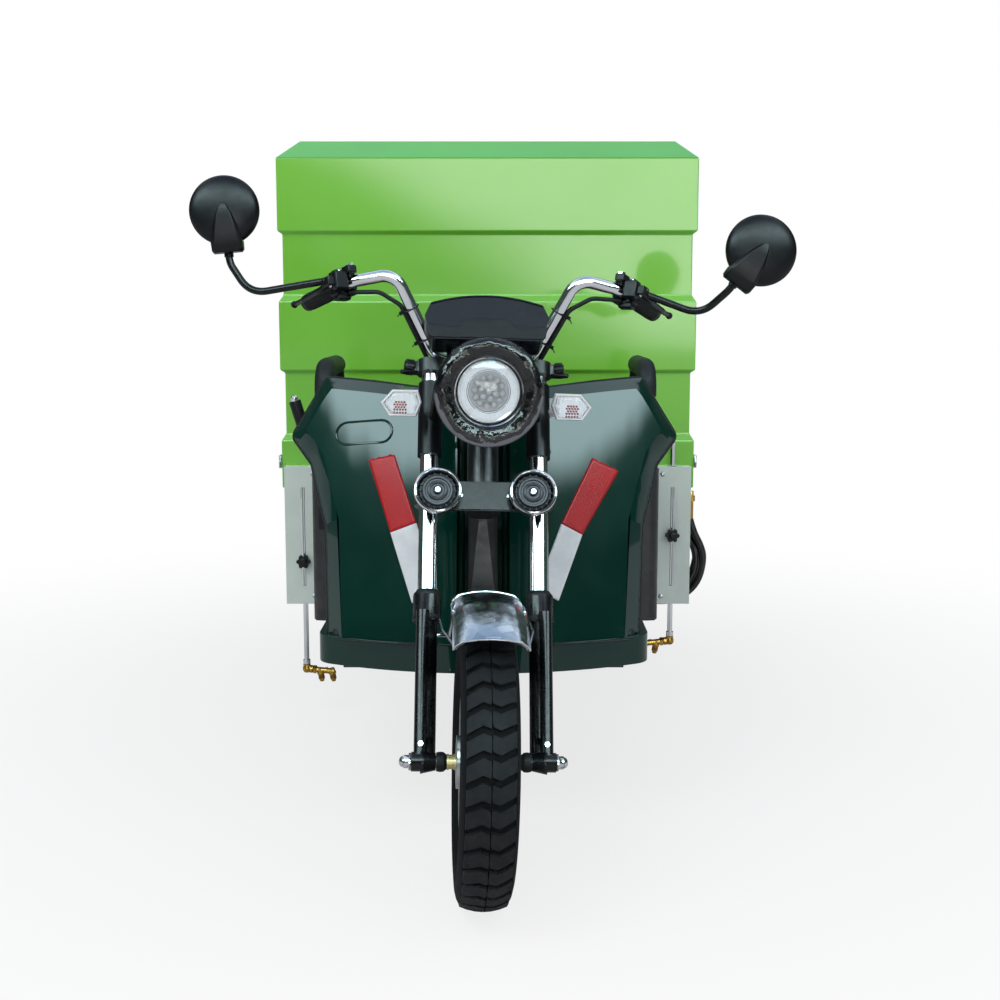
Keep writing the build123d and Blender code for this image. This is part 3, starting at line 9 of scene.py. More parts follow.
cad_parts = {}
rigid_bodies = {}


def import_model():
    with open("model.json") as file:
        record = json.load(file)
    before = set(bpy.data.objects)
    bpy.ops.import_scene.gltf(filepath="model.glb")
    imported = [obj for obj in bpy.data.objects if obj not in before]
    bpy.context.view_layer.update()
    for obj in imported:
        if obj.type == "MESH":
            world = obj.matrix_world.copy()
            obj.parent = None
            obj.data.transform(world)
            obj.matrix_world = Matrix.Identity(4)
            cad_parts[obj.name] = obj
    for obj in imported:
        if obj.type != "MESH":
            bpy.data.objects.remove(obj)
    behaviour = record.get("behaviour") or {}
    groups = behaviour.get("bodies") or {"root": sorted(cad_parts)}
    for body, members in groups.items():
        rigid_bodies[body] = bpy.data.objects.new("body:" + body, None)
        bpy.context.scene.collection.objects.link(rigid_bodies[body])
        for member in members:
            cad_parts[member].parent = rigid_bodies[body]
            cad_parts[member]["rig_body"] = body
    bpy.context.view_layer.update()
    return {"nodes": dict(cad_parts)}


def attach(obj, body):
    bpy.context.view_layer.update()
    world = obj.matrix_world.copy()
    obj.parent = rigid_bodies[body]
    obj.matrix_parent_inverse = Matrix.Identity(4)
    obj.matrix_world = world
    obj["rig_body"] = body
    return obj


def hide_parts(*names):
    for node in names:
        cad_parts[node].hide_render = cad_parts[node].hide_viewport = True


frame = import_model()
nodes = frame["nodes"]
scene = bpy.context.scene

MM = Matrix.Scale(0.001, 4)
HERE = Matrix.Identity(4)

# Steering: the fork is drawn straight ahead and then turned about its stem
RAKE = radians(25)
REST_TURN = radians(4)
AXLE = Vector((0, -1248, 252))
SLOPE_UP = Vector((0, sin(RAKE), cos(RAKE)))
SLOPE_BACK = Vector((0, cos(RAKE), -sin(RAKE)))
TO_THE_SIDE = Vector((1, 0, 0))


def fork(x, y, z):
    """A point of the fork: x to the side, y square behind the axle, z up its slope."""
    return AXLE + TO_THE_SIDE * x + SLOPE_BACK * y + SLOPE_UP * z


STEM = fork(0, 76, 0)
TURN = Matrix.Translation(STEM) @ Matrix.Rotation(REST_TURN, 4, SLOPE_UP) @ Matrix.Translation(-STEM)

# Camera and light

camera = bpy.data.objects.new("camera", bpy.data.cameras.new("camera"))
scene.collection.objects.link(camera)
camera.location = (0.040, -3.615, 1.037)
camera.rotation_euler = (radians(90 - 7.74), 0, 0)
camera.data.lens = 50.4
camera.data.sensor_width = 36
camera.data.shift_x = -0.0035
scene.camera = camera
scene.view_settings.view_transform = "Standard"


def linear(screen):
    """A screen colour such as 71BD40 as linear red, green, blue and alpha."""
    channels = [int(screen[i:i + 2], 16) / 255 for i in (0, 2, 4)]
    return tuple(c / 12.92 if c <= 0.04045 else ((c + 0.055) / 1.055) ** 2.4 for c in channels) + (1,)


def add(tree, kind, attributes=None, **sockets):
    """A new shader node with its attributes set, and its sockets set or linked by name."""
    node = tree.nodes.new(kind)
    for key, value in (attributes or {}).items():
        setattr(node, key, value)
    for key, value in sockets.items():
        feed(tree, node.inputs[key.replace("_", " ")], value)
    return node


def feed(tree, socket, value):
    """Links another node's socket, or sets a plain value."""
    if isinstance(value, bpy.types.NodeSocket):
        tree.links.new(value, socket)
    else:
        socket.default_value = value


def blended(tree, factor, first, second):
    """Two colours mixed by a factor."""
    node = add(tree, "ShaderNodeMix", {"data_type": "RGBA"})
    for index, value in ((0, factor), (6, first), (7, second)):
        feed(tree, node.inputs[index], value)
    return node.outputs[2]


def ranged(tree, value, low, high, start=0.0, end=1.0, kind="SMOOTHSTEP"):
    """A value that runs from start to end while the input runs from low to high."""
    node = add(tree, "ShaderNodeMapRange", {"interpolation_type": kind}, Value=value)
    for name, number in (("From Min", low), ("From Max", high), ("To Min", start), ("To Max", end)):
        node.inputs[name].default_value = number
    return node.outputs["Result"]


def sums(tree, operation, first, second=0.0):
    """The sum, product or other outcome of two numbers."""
    node = add(tree, "ShaderNodeMath", {"operation": operation})
    feed(tree, node.inputs[0], first)
    feed(tree, node.inputs[1], second)
    return node.outputs[0]


def speckle(tree, place, size, detail=3.0, rough=0.5, stretch=None):
    """Smooth noise whose patches are about this many millimetres across."""
    if stretch:
        mapping = add(tree, "ShaderNodeMapping", Vector=place)
        mapping.inputs["Scale"].default_value = stretch
        place = mapping.outputs["Vector"]
    return add(tree, "ShaderNodeTexNoise", Vector=place, Scale=1000 / size, Detail=detail,
               Roughness=rough).outputs["Fac"]


# What glossy parts see above the trees: start and end of each change on a unit sky, and its colour
SKY = (
    (0.502, 0.532, (9.5, 12.7, 13.2, 1)),
    (0.60, 0.72, (1.0, 1.15, 1.3, 1)),
    (0.80, 0.92, (0.50, 0.66, 0.90, 1)),
    (0.94, 1.00, (0.32, 0.46, 0.72, 1)),
)


def light_the_room():
    """White for the camera; an open-air yard for what reflects; an even sky for the rest."""
    world = bpy.data.worlds.new("yard")
    scene.world = world
    world.use_nodes = True
    tree = world.node_tree
    tree.nodes.clear()
    direction = add(tree, "ShaderNodeTexCoord").outputs["Generated"]
    parts = add(tree, "ShaderNodeSeparateXYZ", Vector=direction)
    side, ahead, height = parts.outputs["X"], parts.outputs["Y"], parts.outputs["Z"]
    crowns = add(tree, "ShaderNodeTexNoise", Vector=direction, Scale=7.0, Detail=5.0).outputs["Fac"]
    sideways = sums(tree, "MULTIPLY", sums(tree, "ABSOLUTE", side), 0.13)
    uneven = sums(tree, "ADD", height, sums(tree, "MULTIPLY", sums(tree, "SUBTRACT", crowns, 0.5), 0.03))
    uneven = sums(tree, "ADD", uneven, sums(tree, "MULTIPLY", sideways, ranged(tree, height, 0.62, 0.52)))
    ground = blended(tree, crowns, (0.30, 0.32, 0.31, 1), (0.44, 0.45, 0.43, 1))
    trees = blended(tree, crowns, (0.01, 0.02, 0.015, 1), (0.10, 0.14, 0.12, 1))
    yard = blended(tree, ranged(tree, height, -0.06, 0.0), ground, trees)
    for low, high, colour in SKY:
        factor = ranged(tree, uneven, low, high)
        if low < 0.6:
            factor = sums(tree, "MULTIPLY", factor, ranged(tree, ahead, -0.25, -0.45))
        yard = blended(tree, factor, yard, colour)
    # A bright gap between houses low in front, so that the box's flat bands take a pale sweep
    edge = sums(tree, "ADD", side, sums(tree, "MULTIPLY", height, 1.43))
    edge = sums(tree, "ADD", edge, sums(tree, "MULTIPLY", sums(tree, "SUBTRACT", crowns, 0.5), 0.06))
    gap = sums(tree, "MULTIPLY", ranged(tree, edge, 0.0, 0.10), ranged(tree, height, 0.24, 0.14))
    gap = sums(tree, "MULTIPLY", gap, ranged(tree, height, -0.09, 0.0))
    gap = sums(tree, "MULTIPLY", gap, ranged(tree, side, 0.34, 0.24))
    gap = sums(tree, "MULTIPLY", gap, ranged(tree, ahead, 0.0, -0.1))
    yard = blended(tree, gap, yard, (6.4, 6.5, 6.3, 1))

    seen = add(tree, "ShaderNodeBackground", Color=(1, 1, 1, 1), Strength=1.0)
    mirrored = add(tree, "ShaderNodeBackground", Color=yard, Strength=1.0)
    lighting = add(tree, "ShaderNodeBackground", Strength=1.0, Color=blended(
        tree, ranged(tree, height, -0.3, 0.5), (0.36, 0.36, 0.36, 1), (0.88, 0.92, 0.98, 1)))
    ray = add(tree, "ShaderNodeLightPath")
    direct = sums(tree, "MAXIMUM", ray.outputs["Is Camera Ray"], ray.outputs["Is Transmission Ray"])
    first = add(tree, "ShaderNodeMixShader", Fac=ray.outputs["Is Glossy Ray"])
    tree.links.new(lighting.outputs[0], first.inputs[1])
    tree.links.new(mirrored.outputs[0], first.inputs[2])
    second = add(tree, "ShaderNodeMixShader", Fac=direct)
    tree.links.new(first.outputs[0], second.inputs[1])
    tree.links.new(seen.outputs[0], second.inputs[2])
    tree.links.new(second.outputs[0], add(tree, "ShaderNodeOutputWorld").inputs["Surface"])

    for name, place, aim, size, power in (
            ("key_light", (-2.2, -3.6, 4.6), (0, -0.6, 0.6), 2.6, 85),
            ("side_light", (4.2, -1.0, 2.6), (0, 0, 0.8), 2.4, 26)):
        lamp = bpy.data.lights.new(name, "AREA")
        lamp.shape = "DISK"
        lamp.size = size
        lamp.energy = power
        holder = bpy.data.objects.new(name, lamp)
        holder.location = place
        holder.rotation_euler = (Vector(aim) - Vector(place)).to_track_quat("-Z", "Y").to_euler()
        holder.visible_glossy = False
        scene.collection.objects.link(holder)


def lay_floor():
    """A pale floor that fades into white, so that only the shadow shows."""
    bm = bmesh.new()
    bmesh.ops.create_circle(bm, cap_ends=True, segments=96, radius=30)
    mesh = bpy.data.meshes.new("floor")
    bm.to_mesh(mesh)
    bm.free()
    material = bpy.data.materials.new("floor_white")
    material.use_nodes = True
    tree = material.node_tree
    tree.nodes.clear()
    place = add(tree, "ShaderNodeTexCoord").outputs["Object"]
    distance = add(tree, "ShaderNodeVectorMath", {"operation": "LENGTH"})
    tree.links.new(place, distance.inputs[0])
    diffuse = add(tree, "ShaderNodeBsdfDiffuse", Color=(0.60, 0.60, 0.60, 1))
    white = add(tree, "ShaderNodeEmission", Color=(1, 1, 1, 1), Strength=1.0)
    ray = add(tree, "ShaderNodeLightPath")
    direct = sums(tree, "MAXIMUM", ray.outputs["Is Camera Ray"], ray.outputs["Is Transmission Ray"])
    far = ranged(tree, distance.outputs["Value"], 0.5, 3.0, 0.74, 1.0)
    mix = add(tree, "ShaderNodeMixShader", Fac=sums(tree, "MULTIPLY", direct, far))
    tree.links.new(diffuse.outputs[0], mix.inputs[1])
    tree.links.new(white.outputs[0], mix.inputs[2])
    tree.links.new(mix.outputs[0], add(tree, "ShaderNodeOutputMaterial").inputs["Surface"])
    mesh.materials.append(material)
    floor = bpy.data.objects.new("floor", mesh)
    scene.collection.objects.link(floor)


light_the_room()
lay_floor()

# Finishes

materials = {}


def finish(name, colour, roughness, metallic=0.0, mottle=0.06, patch=140, spread=0.05, grain=None, wave=None,
           dust=0.0, stretch=None, **shader):
    """A procedural finish: mottled colour, uneven gloss, a fine grain and a slow wave as (size, depth)."""
    material = bpy.data.materials.new(name)
    material.use_nodes = True
    tree = material.node_tree
    principled = tree.nodes["Principled BSDF"]
    place = add(tree, "ShaderNodeTexCoord").outputs["Object"]
    base = linear(colour)
    darker = tuple(c * (1 - mottle) for c in base[:3]) + (1,)
    lighter = tuple(min(1, c * (1 + mottle)) for c in base[:3]) + (1,)
    patches = ranged(tree, speckle(tree, place, patch, stretch=stretch), 0.35, 0.65)
    coloured = blended(tree, patches, darker, lighter)
    if dust:
        height = add(tree, "ShaderNodeSeparateXYZ", Vector=place).outputs["Z"]
        low = ranged(tree, height, 0.75, 0.05)
        settled = ranged(tree, speckle(tree, place, 45, 6.0, 0.7), 0.35, 0.75)
        coloured = blended(tree, sums(tree, "MULTIPLY", sums(tree, "MULTIPLY", low, settled), dust),
                           coloured,
                           linear("8A8274"))
    feed(tree, principled.inputs["Base Color"], coloured)
    worn = speckle(tree, place, patch / 4, 5.0, 0.6, stretch)
    feed(tree, principled.inputs["Roughness"],
         ranged(tree, worn, 0.3, 0.7, max(0.01, roughness - spread), roughness + spread, "LINEAR"))
    principled.inputs["Metallic"].default_value = metallic
    normal = None
    for relief in (wave, grain):
        if relief:
            size, depth = relief
            bump = add(tree, "ShaderNodeBump", Strength=1.0, Distance=depth / 1000,
                       Height=speckle(tree, place, size, 2.0, 0.5, stretch))
            if normal:
                tree.links.new(normal, bump.inputs["Normal"])
            normal = bump.outputs["Normal"]
    if normal:
        tree.links.new(normal, principled.inputs["Normal"])
    for socket, value in shader.items():
        principled.inputs[socket.replace("_", " ")].default_value = value
    materials[name] = material
    return material


finish("box_green", "72BD3A", 0.24, mottle=0.03, patch=400, spread=0.03, wave=(260, 1.1), grain=(2.2, 0.006),
       Specular_IOR_Level=0.3, Coat_Weight=0.7, Coat_Roughness=0.06)
finish("roof_green", "62B45C", 0.34, mottle=0.03, patch=300, wave=(260, 1.0), Coat_Weight=0.3)
finish("shield_green", "042C23", 0.16, mottle=0.08, patch=260, spread=0.04, wave=(150, 0.12),
       grain=(1.2, 0.002),
       Specular_IOR_Level=0.06, Coat_Weight=0.6, Coat_Roughness=0.03)
finish("frame_black", "121315", 0.38, mottle=0.2, patch=60, spread=0.10, grain=(1.4, 0.02), dust=0.25)
finish("fork_black", "0A0B0D", 0.28, mottle=0.15, patch=60, spread=0.06, grain=(1.2, 0.008),
       Specular_IOR_Level=0.25, Coat_Weight=0.1)
finish("plastic_black", "0B0D10", 0.36, mottle=0.12, patch=50, spread=0.06, grain=(0.9, 0.012),
       Specular_IOR_Level=0.25)
finish("pod_black", "080E16", 0.24, mottle=0.10, patch=60, spread=0.04, grain=(0.9, 0.004),
       Specular_IOR_Level=0.3, Coat_Weight=0.15)
finish("grey_plastic", "56565C", 0.42, mottle=0.06, patch=50, grain=(0.8, 0.010))
finish("chrome", "D6D7DA", 0.10, 1.0, mottle=0.04, patch=60, spread=0.05, wave=(40, 0.04))
finish("zinc", "A7A9A8", 0.34, 1.0, mottle=0.10, patch=22, spread=0.10, grain=(1.0, 0.010))
finish("steel_bright", "C9CACB", 0.20, 1.0, mottle=0.05, patch=30, spread=0.08)
finish("plate_white", "C9D5CC", 0.42, mottle=0.03, patch=120, spread=0.06, grain=(1.6, 0.012), dust=0.12)
finish("brass", "B08A42", 0.28, 1.0, mottle=0.14, patch=14, spread=0.10)
finish("pale_brass", "D9CD92", 0.30, 0.8, mottle=0.06, patch=14, spread=0.06)
finish("tyre_black", "0F1215", 0.66, mottle=0.16, patch=30, spread=0.10, grain=(0.9, 0.03), dust=0.05,
       Specular_IOR_Level=0.2)
finish("groove_black", "08090A", 0.80, mottle=0.1, patch=30, Specular_IOR_Level=0.15)
finish("rubber_black", "0F1011", 0.60, mottle=0.12, patch=30, spread=0.08, grain=(0.8, 0.02),
       Specular_IOR_Level=0.3)
finish("hose_black", "0E1012", 0.36, mottle=0.12, patch=30, spread=0.06, grain=(1.0, 0.01), dust=0.10)
finish("seat_black", "15161A", 0.46, mottle=0.14, patch=50, spread=0.08, grain=(1.6, 0.10), wave=(60, 0.5))
finish("tank_white", "D5DADB", 0.45, mottle=0.04, patch=120, grain=(2.0, 0.02))
finish("red_plastic", "A01010", 0.18, mottle=0.06, patch=30, Coat_Weight=0.6)
finish("reflector_chrome", "E6EAEE", 0.12, 1.0, mottle=0.03, patch=20, wave=(12, 0.06))
finish("white_plastic", "E4E6E8", 0.25, mottle=0.03, patch=30, Coat_Weight=0.4)
finish("clear_glass", "F4F8FA", 0.03, mottle=0.0, spread=0.0, Transmission_Weight=1.0, IOR=1.46)
finish("bead_glass", "F4F8FA", 0.08, mottle=0.0, spread=0.0, Transmission_Weight=0.3, IOR=1.5)
finish("amber_core", "B8433A", 0.30, mottle=0.30, patch=8, grain=(3, 0.3))
finish("mirror_glass", "DADFE4", 0.02, 1.0, mottle=0.0, spread=0.0)
finish("horn_grey", "3C3E42", 0.42, 0.3, mottle=0.10, patch=18)
finish("copper_motor", "3A3C3F", 0.45, 0.6, mottle=0.2, patch=30, dust=0.3)


def film_finish():
    """Thin clear film, bright only where a crease catches the sky."""
    material = finish("clear_film", "050709", 0.08, mottle=0.0, spread=0.04, wave=(14, 2.2), grain=(5, 0.5),
                      Specular_IOR_Level=0.9)
    material.node_tree.nodes["Principled BSDF"].inputs["Alpha"].default_value = 0.45


def fender_finish():
    """Bright plated steel under a crumpled protective film: jagged patches of grey, blue and white in its
    colour, a painted reflection of the film's facets.
    """
    material = finish("fender_chrome", "C4CAD0", 0.20, 1.0, mottle=0.0, spread=0.06, wave=(42, 2.2))
    tree = material.node_tree
    principled = tree.nodes["Principled BSDF"]
    place = add(tree, "ShaderNodeTexCoord").outputs["Object"]
    # Voronoi patches of lighter and darker plating colour: painted reflection of the crumpled film's facets
    cells = add(tree, "ShaderNodeTexVoronoi", {"feature": "F1"}, Vector=place, Scale=38.0)
    painted_reflection_facets = ranged(tree, cells.outputs["Color"], 0.25, 0.75)
    feed(tree, principled.inputs["Base Color"], blended(tree, painted_reflection_facets, linear("A9B0B7"), linear("CBD3DB")))


def strip_finish(name, colour):
    """Retroreflective sheet: a fine six-sided cell pattern under a clear face."""
    material = finish(name, colour, 0.34, mottle=0.05, patch=40, Specular_IOR_Level=0.25, Coat_Weight=0.15,
                      Coat_Roughness=0.08)
    tree = material.node_tree
    place = add(tree, "ShaderNodeTexCoord").outputs["Object"]
    cells = add(tree, "ShaderNodeTexVoronoi", {"feature": "DISTANCE_TO_EDGE"}, Vector=place, Scale=260.0)
    bump = add(tree, "ShaderNodeBump", Strength=0.6, Distance=0.0004,
               Height=ranged(tree, cells.outputs["Distance"], 0.0, 0.12))
    tree.links.new(bump.outputs["Normal"], tree.nodes["Principled BSDF"].inputs["Normal"])


film_finish()
fender_finish()
strip_finish("strip_red", "A80A12")
strip_finish("strip_white", "D9DEE0")

# Making and placing pieces


def spun(bm, line, place=HERE, steps=48):
    """Turns a (radius, height) line about the place's own Z."""
    rings = []
    for radius, height in line:
        count = steps if radius > 0.01 else 1
        rings.append([bm.verts.new(place @ Vector((radius * cos(tau * i / count),
                                                   radius * sin(tau * i / count),
                                                   height))) for i in range(count)])
    for low, high in zip(rings, rings[1:]):
        if len(low) == len(high) == 1:
            continue
        for i in range(max(len(low), len(high))):
            corners = [low[i % len(low)], low[(i + 1) % len(low)], high[(i + 1) % len(high)],
                       high[i % len(high)]]
            bm.faces.new(list(dict.fromkeys(corners)))


def bar(bm, points, radius, sides=14, closed=False):
    """A round bar along a line of points, with one radius or one for each point."""
    points = [Vector(point) for point in points]
    count = len(points)
    radii = radius if isinstance(radius, (list, tuple)) else [radius] * count
    across, rings = None, []
    for i, point in enumerate(points):
        before = points[(i - 1) % count] if closed else points[max(i - 1, 0)]
        after = points[(i + 1) % count] if closed else points[min(i + 1, count - 1)]
        ahead = (after - before).normalized()
        across = ahead.orthogonal() if across is None else across - ahead * across.dot(ahead)
        across.normalize()
        up = ahead.cross(across)
        spokes = [across * cos(tau * k / sides) + up * sin(tau * k / sides) for k in range(sides)]
        rings.append([bm.verts.new(point + spoke * radii[i]) for spoke in spokes])
    pairs = list(zip(rings, rings[1:])) + ([(rings[-1], rings[0])] if closed else [])
    for low, high in pairs:
        for k in range(sides):
            bm.faces.new((low[k], low[(k + 1) % sides], high[(k + 1) % sides], high[k]))
    if not closed:
        bm.faces.new(rings[0])
        bm.faces.new(rings[-1])


def bent(points, bend, steps=7):
    """The line of points with each inner corner rounded."""
    points = [Vector(point) for point in points]
    line = [points[0]]
    for before, corner, after in zip(points, points[1:], points[2:]):
        back, on = before - corner, after - corner
        half = back.angle(on) / 2
        reach = min(bend / tan(half), 0.48 * back.length, 0.48 * on.length)
        start, end = corner + back.normalized() * reach, corner + on.normalized() * reach
        for step in range(steps + 1):
            t = step / steps
            line.append(start * (1 - t) ** 2 + corner * 2 * t * (1 - t) + end * t ** 2)
    line.append(points[-1])
    return line


def slab(bm, outline, low, high, place=HERE, shrink=1.0):
    """A flat piece: an (x, y) outline in the place's plane between two heights, its top shrunk or not."""
    bottom = [bm.verts.new(place @ Vector((x, y, low))) for x, y in outline]
    top = [bm.verts.new(place @ Vector((x * shrink, y * shrink, high))) for x, y in outline]
    bm.faces.new(bottom)
    bm.faces.new(top)
    for i in range(len(outline)):
        j = (i + 1) % len(outline)
        bm.faces.new((bottom[i], bottom[j], top[j], top[i]))


def brick(bm, x, y, z, place=HERE):
    """A block from three (low, high) pairs."""
    slab(bm, [(x[0], y[0]), (x[1], y[0]), (x[1], y[1]), (x[0], y[1])], z[0], z[1], place)


def polygon(radius, sides, start=0.0):
    """The corners of a regular polygon."""
    return [(radius * cos(start + tau * i / sides),
             radius * sin(start + tau * i / sides)) for i in range(sides)]


def facing(origin, z_dir, x_dir=(1, 0, 0)):
    """A place whose Z looks along z_dir and whose X keeps near x_dir."""
    z_axis = Vector(z_dir).normalized()
    x_axis = Vector(x_dir)
    x_axis = (x_axis - z_axis * x_axis.dot(z_axis)).normalized()
    turn = Matrix((x_axis, z_axis.cross(x_axis), z_axis)).transposed().to_4x4()
    return Matrix.Translation(Vector(origin)) @ turn


def to_mesh(bm, name="shape", angle=32):
    """Merged, outward-facing, smooth but for its sharp edges."""
    bmesh.ops.remove_doubles(bm, verts=bm.verts, dist=0.01)
    bmesh.ops.recalc_face_normals(bm, faces=bm.faces)
    mesh = bpy.data.meshes.new(name)
    bm.to_mesh(mesh)
    bm.free()
    mesh.shade_smooth()
    mesh.set_sharp_from_angle(angle=radians(angle))
    return mesh


def applied(mesh, set_up):
    """The mesh after the modifiers that set_up gives it, as a plain mesh."""
    holder = bpy.data.objects.new("holder", mesh)
    scene.collection.objects.link(holder)
    set_up(holder)
    graph = bpy.context.evaluated_depsgraph_get()
    made = bpy.data.meshes.new_from_object(holder.evaluated_get(graph), preserve_all_data_layers=True,
                                           depsgraph=graph)
    bpy.data.objects.remove(holder)
    return made


def softened(mesh, width, steps=2, angle=30, even=True):
    """The mesh with its sharp edges rounded and its flat faces kept flat."""
    def set_up(holder):
        bevel = holder.modifiers.new("bevel", "BEVEL")
        bevel.width = width
        bevel.segments = steps
        bevel.limit_method = "ANGLE"
        bevel.angle_limit = radians(angle)
        bevel.use_clamp_overlap = True
        bevel.harden_normals = False
        if even:
            holder.modifiers.new("flat", "WEIGHTED_NORMAL").keep_sharp = True
    made = applied(mesh, set_up)
    return made


def grown(mesh, tree, **inputs):
    """The mesh after a Geometry Nodes tree, with the tree's inputs set by name."""
    def set_up(holder):
        modifier = holder.modifiers.new(tree.name, "NODES")
        modifier.node_group = tree
        for item in tree.interface.items_tree:
            if item.item_type == "SOCKET" and item.in_out == "INPUT" and item.name in inputs:
                modifier[item.identifier] = inputs[item.name]
    return applied(mesh, set_up)


def piece(name, mesh, coat, on, place=HERE, stands_for=()):
    """Puts a finished mesh in the scene; it rides with the body of the CAD node that it sits on."""
    mesh.transform(MM @ place)
    mesh.name = name
    made = bpy.data.objects.new(name, mesh)
    scene.collection.objects.link(made)
    if coat:
        mesh.materials.clear()
        mesh.materials.append(materials[coat])
    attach(made, nodes[on]["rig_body"])
    if stands_for:
        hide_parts(*stands_for)
    return made


def merged(node):
    """A copy of a CAD node's mesh in millimetres, with its loose triangles joined."""
    bm = bmesh.new()
    bm.from_mesh(nodes[node].data)
    bmesh.ops.transform(bm, matrix=Matrix.Scale(1000, 4), verts=bm.verts)
    bmesh.ops.remove_doubles(bm, verts=bm.verts, dist=0.02)
    return bm


def refined(node, coat, angle=28, edge=0.0, move=None):
    """Stands for a CAD node: its curves shade smoothly, its edges may be rounded and its points moved."""
    bm = merged(node)
    if move:
        for vertex in bm.verts:
            vertex.co = move(vertex.co)
    if edge:
        bmesh.ops.dissolve_limit(bm, angle_limit=radians(0.6), verts=bm.verts, edges=bm.edges)
    mesh = bpy.data.meshes.new(node)
    bm.to_mesh(mesh)
    bm.free()
    mesh.shade_smooth()
    if edge:
        mesh = softened(mesh, edge, angle=angle)
    else:
        mesh.set_sharp_from_angle(angle=radians(angle))

        def set_up(holder):
            holder.modifiers.new("flat", "WEIGHTED_NORMAL").keep_sharp = True
        mesh = applied(mesh, set_up)
    return piece(node + "_finished", mesh, coat, node, stands_for=(node,))


# Trees that repeat a piece


def repeat_tree(name, extra):
    """A new tree with a geometry input and output, a count and a material; extra adds its own inputs."""
    tree = bpy.data.node_groups.new(name, "GeometryNodeTree")
    tree.interface.new_socket("Piece", in_out="INPUT", socket_type="NodeSocketGeometry")
    tree.interface.new_socket("Count", in_out="INPUT", socket_type="NodeSocketInt")
    for label, kind in extra:
        tree.interface.new_socket(label, in_out="INPUT", socket_type=kind)
    tree.interface.new_socket("Finish", in_out="INPUT", socket_type="NodeSocketMaterial")
    tree.interface.new_socket("Geometry", in_out="OUTPUT", socket_type="NodeSocketGeometry")
    return tree, tree.nodes.new("NodeGroupInput"), tree.nodes.new("NodeGroupOutput")


def close_tree(tree, given, end, instances):
    """Ends a tree in real geometry with its material set."""
    real = tree.nodes.new("GeometryNodeRealizeInstances")
    coat = tree.nodes.new("GeometryNodeSetMaterial")
    tree.links.new(instances, real.inputs[0])
    tree.links.new(real.outputs[0], coat.inputs["Geometry"])
    tree.links.new(given.outputs["Finish"], coat.inputs["Material"])
    tree.links.new(coat.outputs[0], end.inputs[0])


def round_the_axle_tree():
    """Repeats a piece round the X axis at even angles."""
    tree, given, end = repeat_tree("round_the_axle", ())
    points = tree.nodes.new("GeometryNodePoints")
    tree.links.new(given.outputs["Count"], points.inputs["Count"])
    order = tree.nodes.new("GeometryNodeInputIndex")
    share = add(tree, "ShaderNodeMath", {"operation": "DIVIDE"})
    tree.links.new(order.outputs[0], share.inputs[0])
    tree.links.new(given.outputs["Count"], share.inputs[1])
    angle = add(tree, "ShaderNodeMath", {"operation": "MULTIPLY"})
    angle.inputs[1].default_value = tau
    tree.links.new(share.outputs[0], angle.inputs[0])
    turn = add(tree, "ShaderNodeCombineXYZ", X=angle.outputs[0])
    copies = tree.nodes.new("GeometryNodeInstanceOnPoints")
    tree.links.new(points.outputs[0], copies.inputs["Points"])
    tree.links.new(given.outputs["Piece"], copies.inputs["Instance"])
    tree.links.new(turn.outputs[0], copies.inputs["Rotation"])
    close_tree(tree, given, end, copies.outputs[0])
    return tree


def in_a_row_tree():
    """Repeats a piece along a straight step."""
    tree, given, end = repeat_tree("in_a_row", (("Step", "NodeSocketVector"),))
    line = tree.nodes.new("GeometryNodeMeshLine")
    tree.links.new(given.outputs["Count"], line.inputs["Count"])
    tree.links.new(given.outputs["Step"], line.inputs["Offset"])
    copies = tree.nodes.new("GeometryNodeInstanceOnPoints")
    tree.links.new(line.outputs[0], copies.inputs["Points"])
    tree.links.new(given.outputs["Piece"], copies.inputs["Instance"])
    close_tree(tree, given, end, copies.outputs[0])
    return tree


ROUND_THE_AXLE = round_the_axle_tree()
IN_A_ROW = in_a_row_tree()

# Pressure hose: three turns outside from front to back, two and a half inside, into its coupling

HOSE_WIDTH = 17
COIL_MIDDLE = Vector((452, 12, 388))
TURNS = ((109.5, -17), (109.5, 0), (109.5, 17), (92.5, 17), (92.5, 0), (92.5, -17))
POINTS_A_TURN = 12
CONTROL_REACH = 1 / 0.966       # a control point stands outside the curve that it draws
LEAD_Y = -22.3
LEAD_IN = (12, 5, 1)            # how far the first control points still stand in front of their turn


def hose_route():
    """Control points of the hose, from its union down and round the coil."""
    route = []
    for step in range(4):
        share = step / 3
        route.append((524 + 38.5 * (1 - cos(pi * share)) / 2, LEAD_Y, 500 - 104 * share))
    for order, (radius, y) in enumerate(TURNS):
        last = order == len(TURNS) - 1
        for step in range(1 if order == 0 else 0, 4 if last else POINTS_A_TURN):
            angle = -tau * step / POINTS_A_TURN
            reach = radius * CONTROL_REACH
            settling = LEAD_IN[step - 1] if order == 0 and step <= len(LEAD_IN) else 0
            route.append((COIL_MIDDLE.x + reach * cos(angle), COIL_MIDDLE.y + y - settling,
                          COIL_MIDDLE.z + reach * sin(angle)))
    inner_end = ((-35, -14, -88), (-59.6, -8.8, -66.2), (-70.4, -1.3, -37.4), (-69.2, 0, -22))
    return route + [COIL_MIDDLE + Vector(offset) for offset in inner_end]


def lay_hose():
    coupling = refined("hose_coupling", "brass", 28)
    curve = bpy.data.curves.new("pressure_hose", "CURVE")
    curve.dimensions = "3D"
    curve.bevel_depth = (HOSE_WIDTH - 0.3) / 2000
    curve.bevel_resolution = 4
    curve.resolution_u = 5
    curve.use_fill_caps = True
    spline = curve.splines.new("NURBS")
    route = hose_route()
    spline.points.add(len(route) - 1)
    for point, place in zip(spline.points, route):
        point.co = (*(Vector(place) / 1000), 1)
    spline.order_u = 3
    spline.use_endpoint_u = True
    hose = bpy.data.objects.new("pressure_hose", curve)
    scene.collection.objects.link(hose)
    curve.materials.append(materials["hose_black"])
    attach(hose, "frame")
    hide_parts("hose_coil", "hose_lead")


lay_hose()

# Tyres: a smooth carcass under two columns of blocks whose grooves climb from the left edge

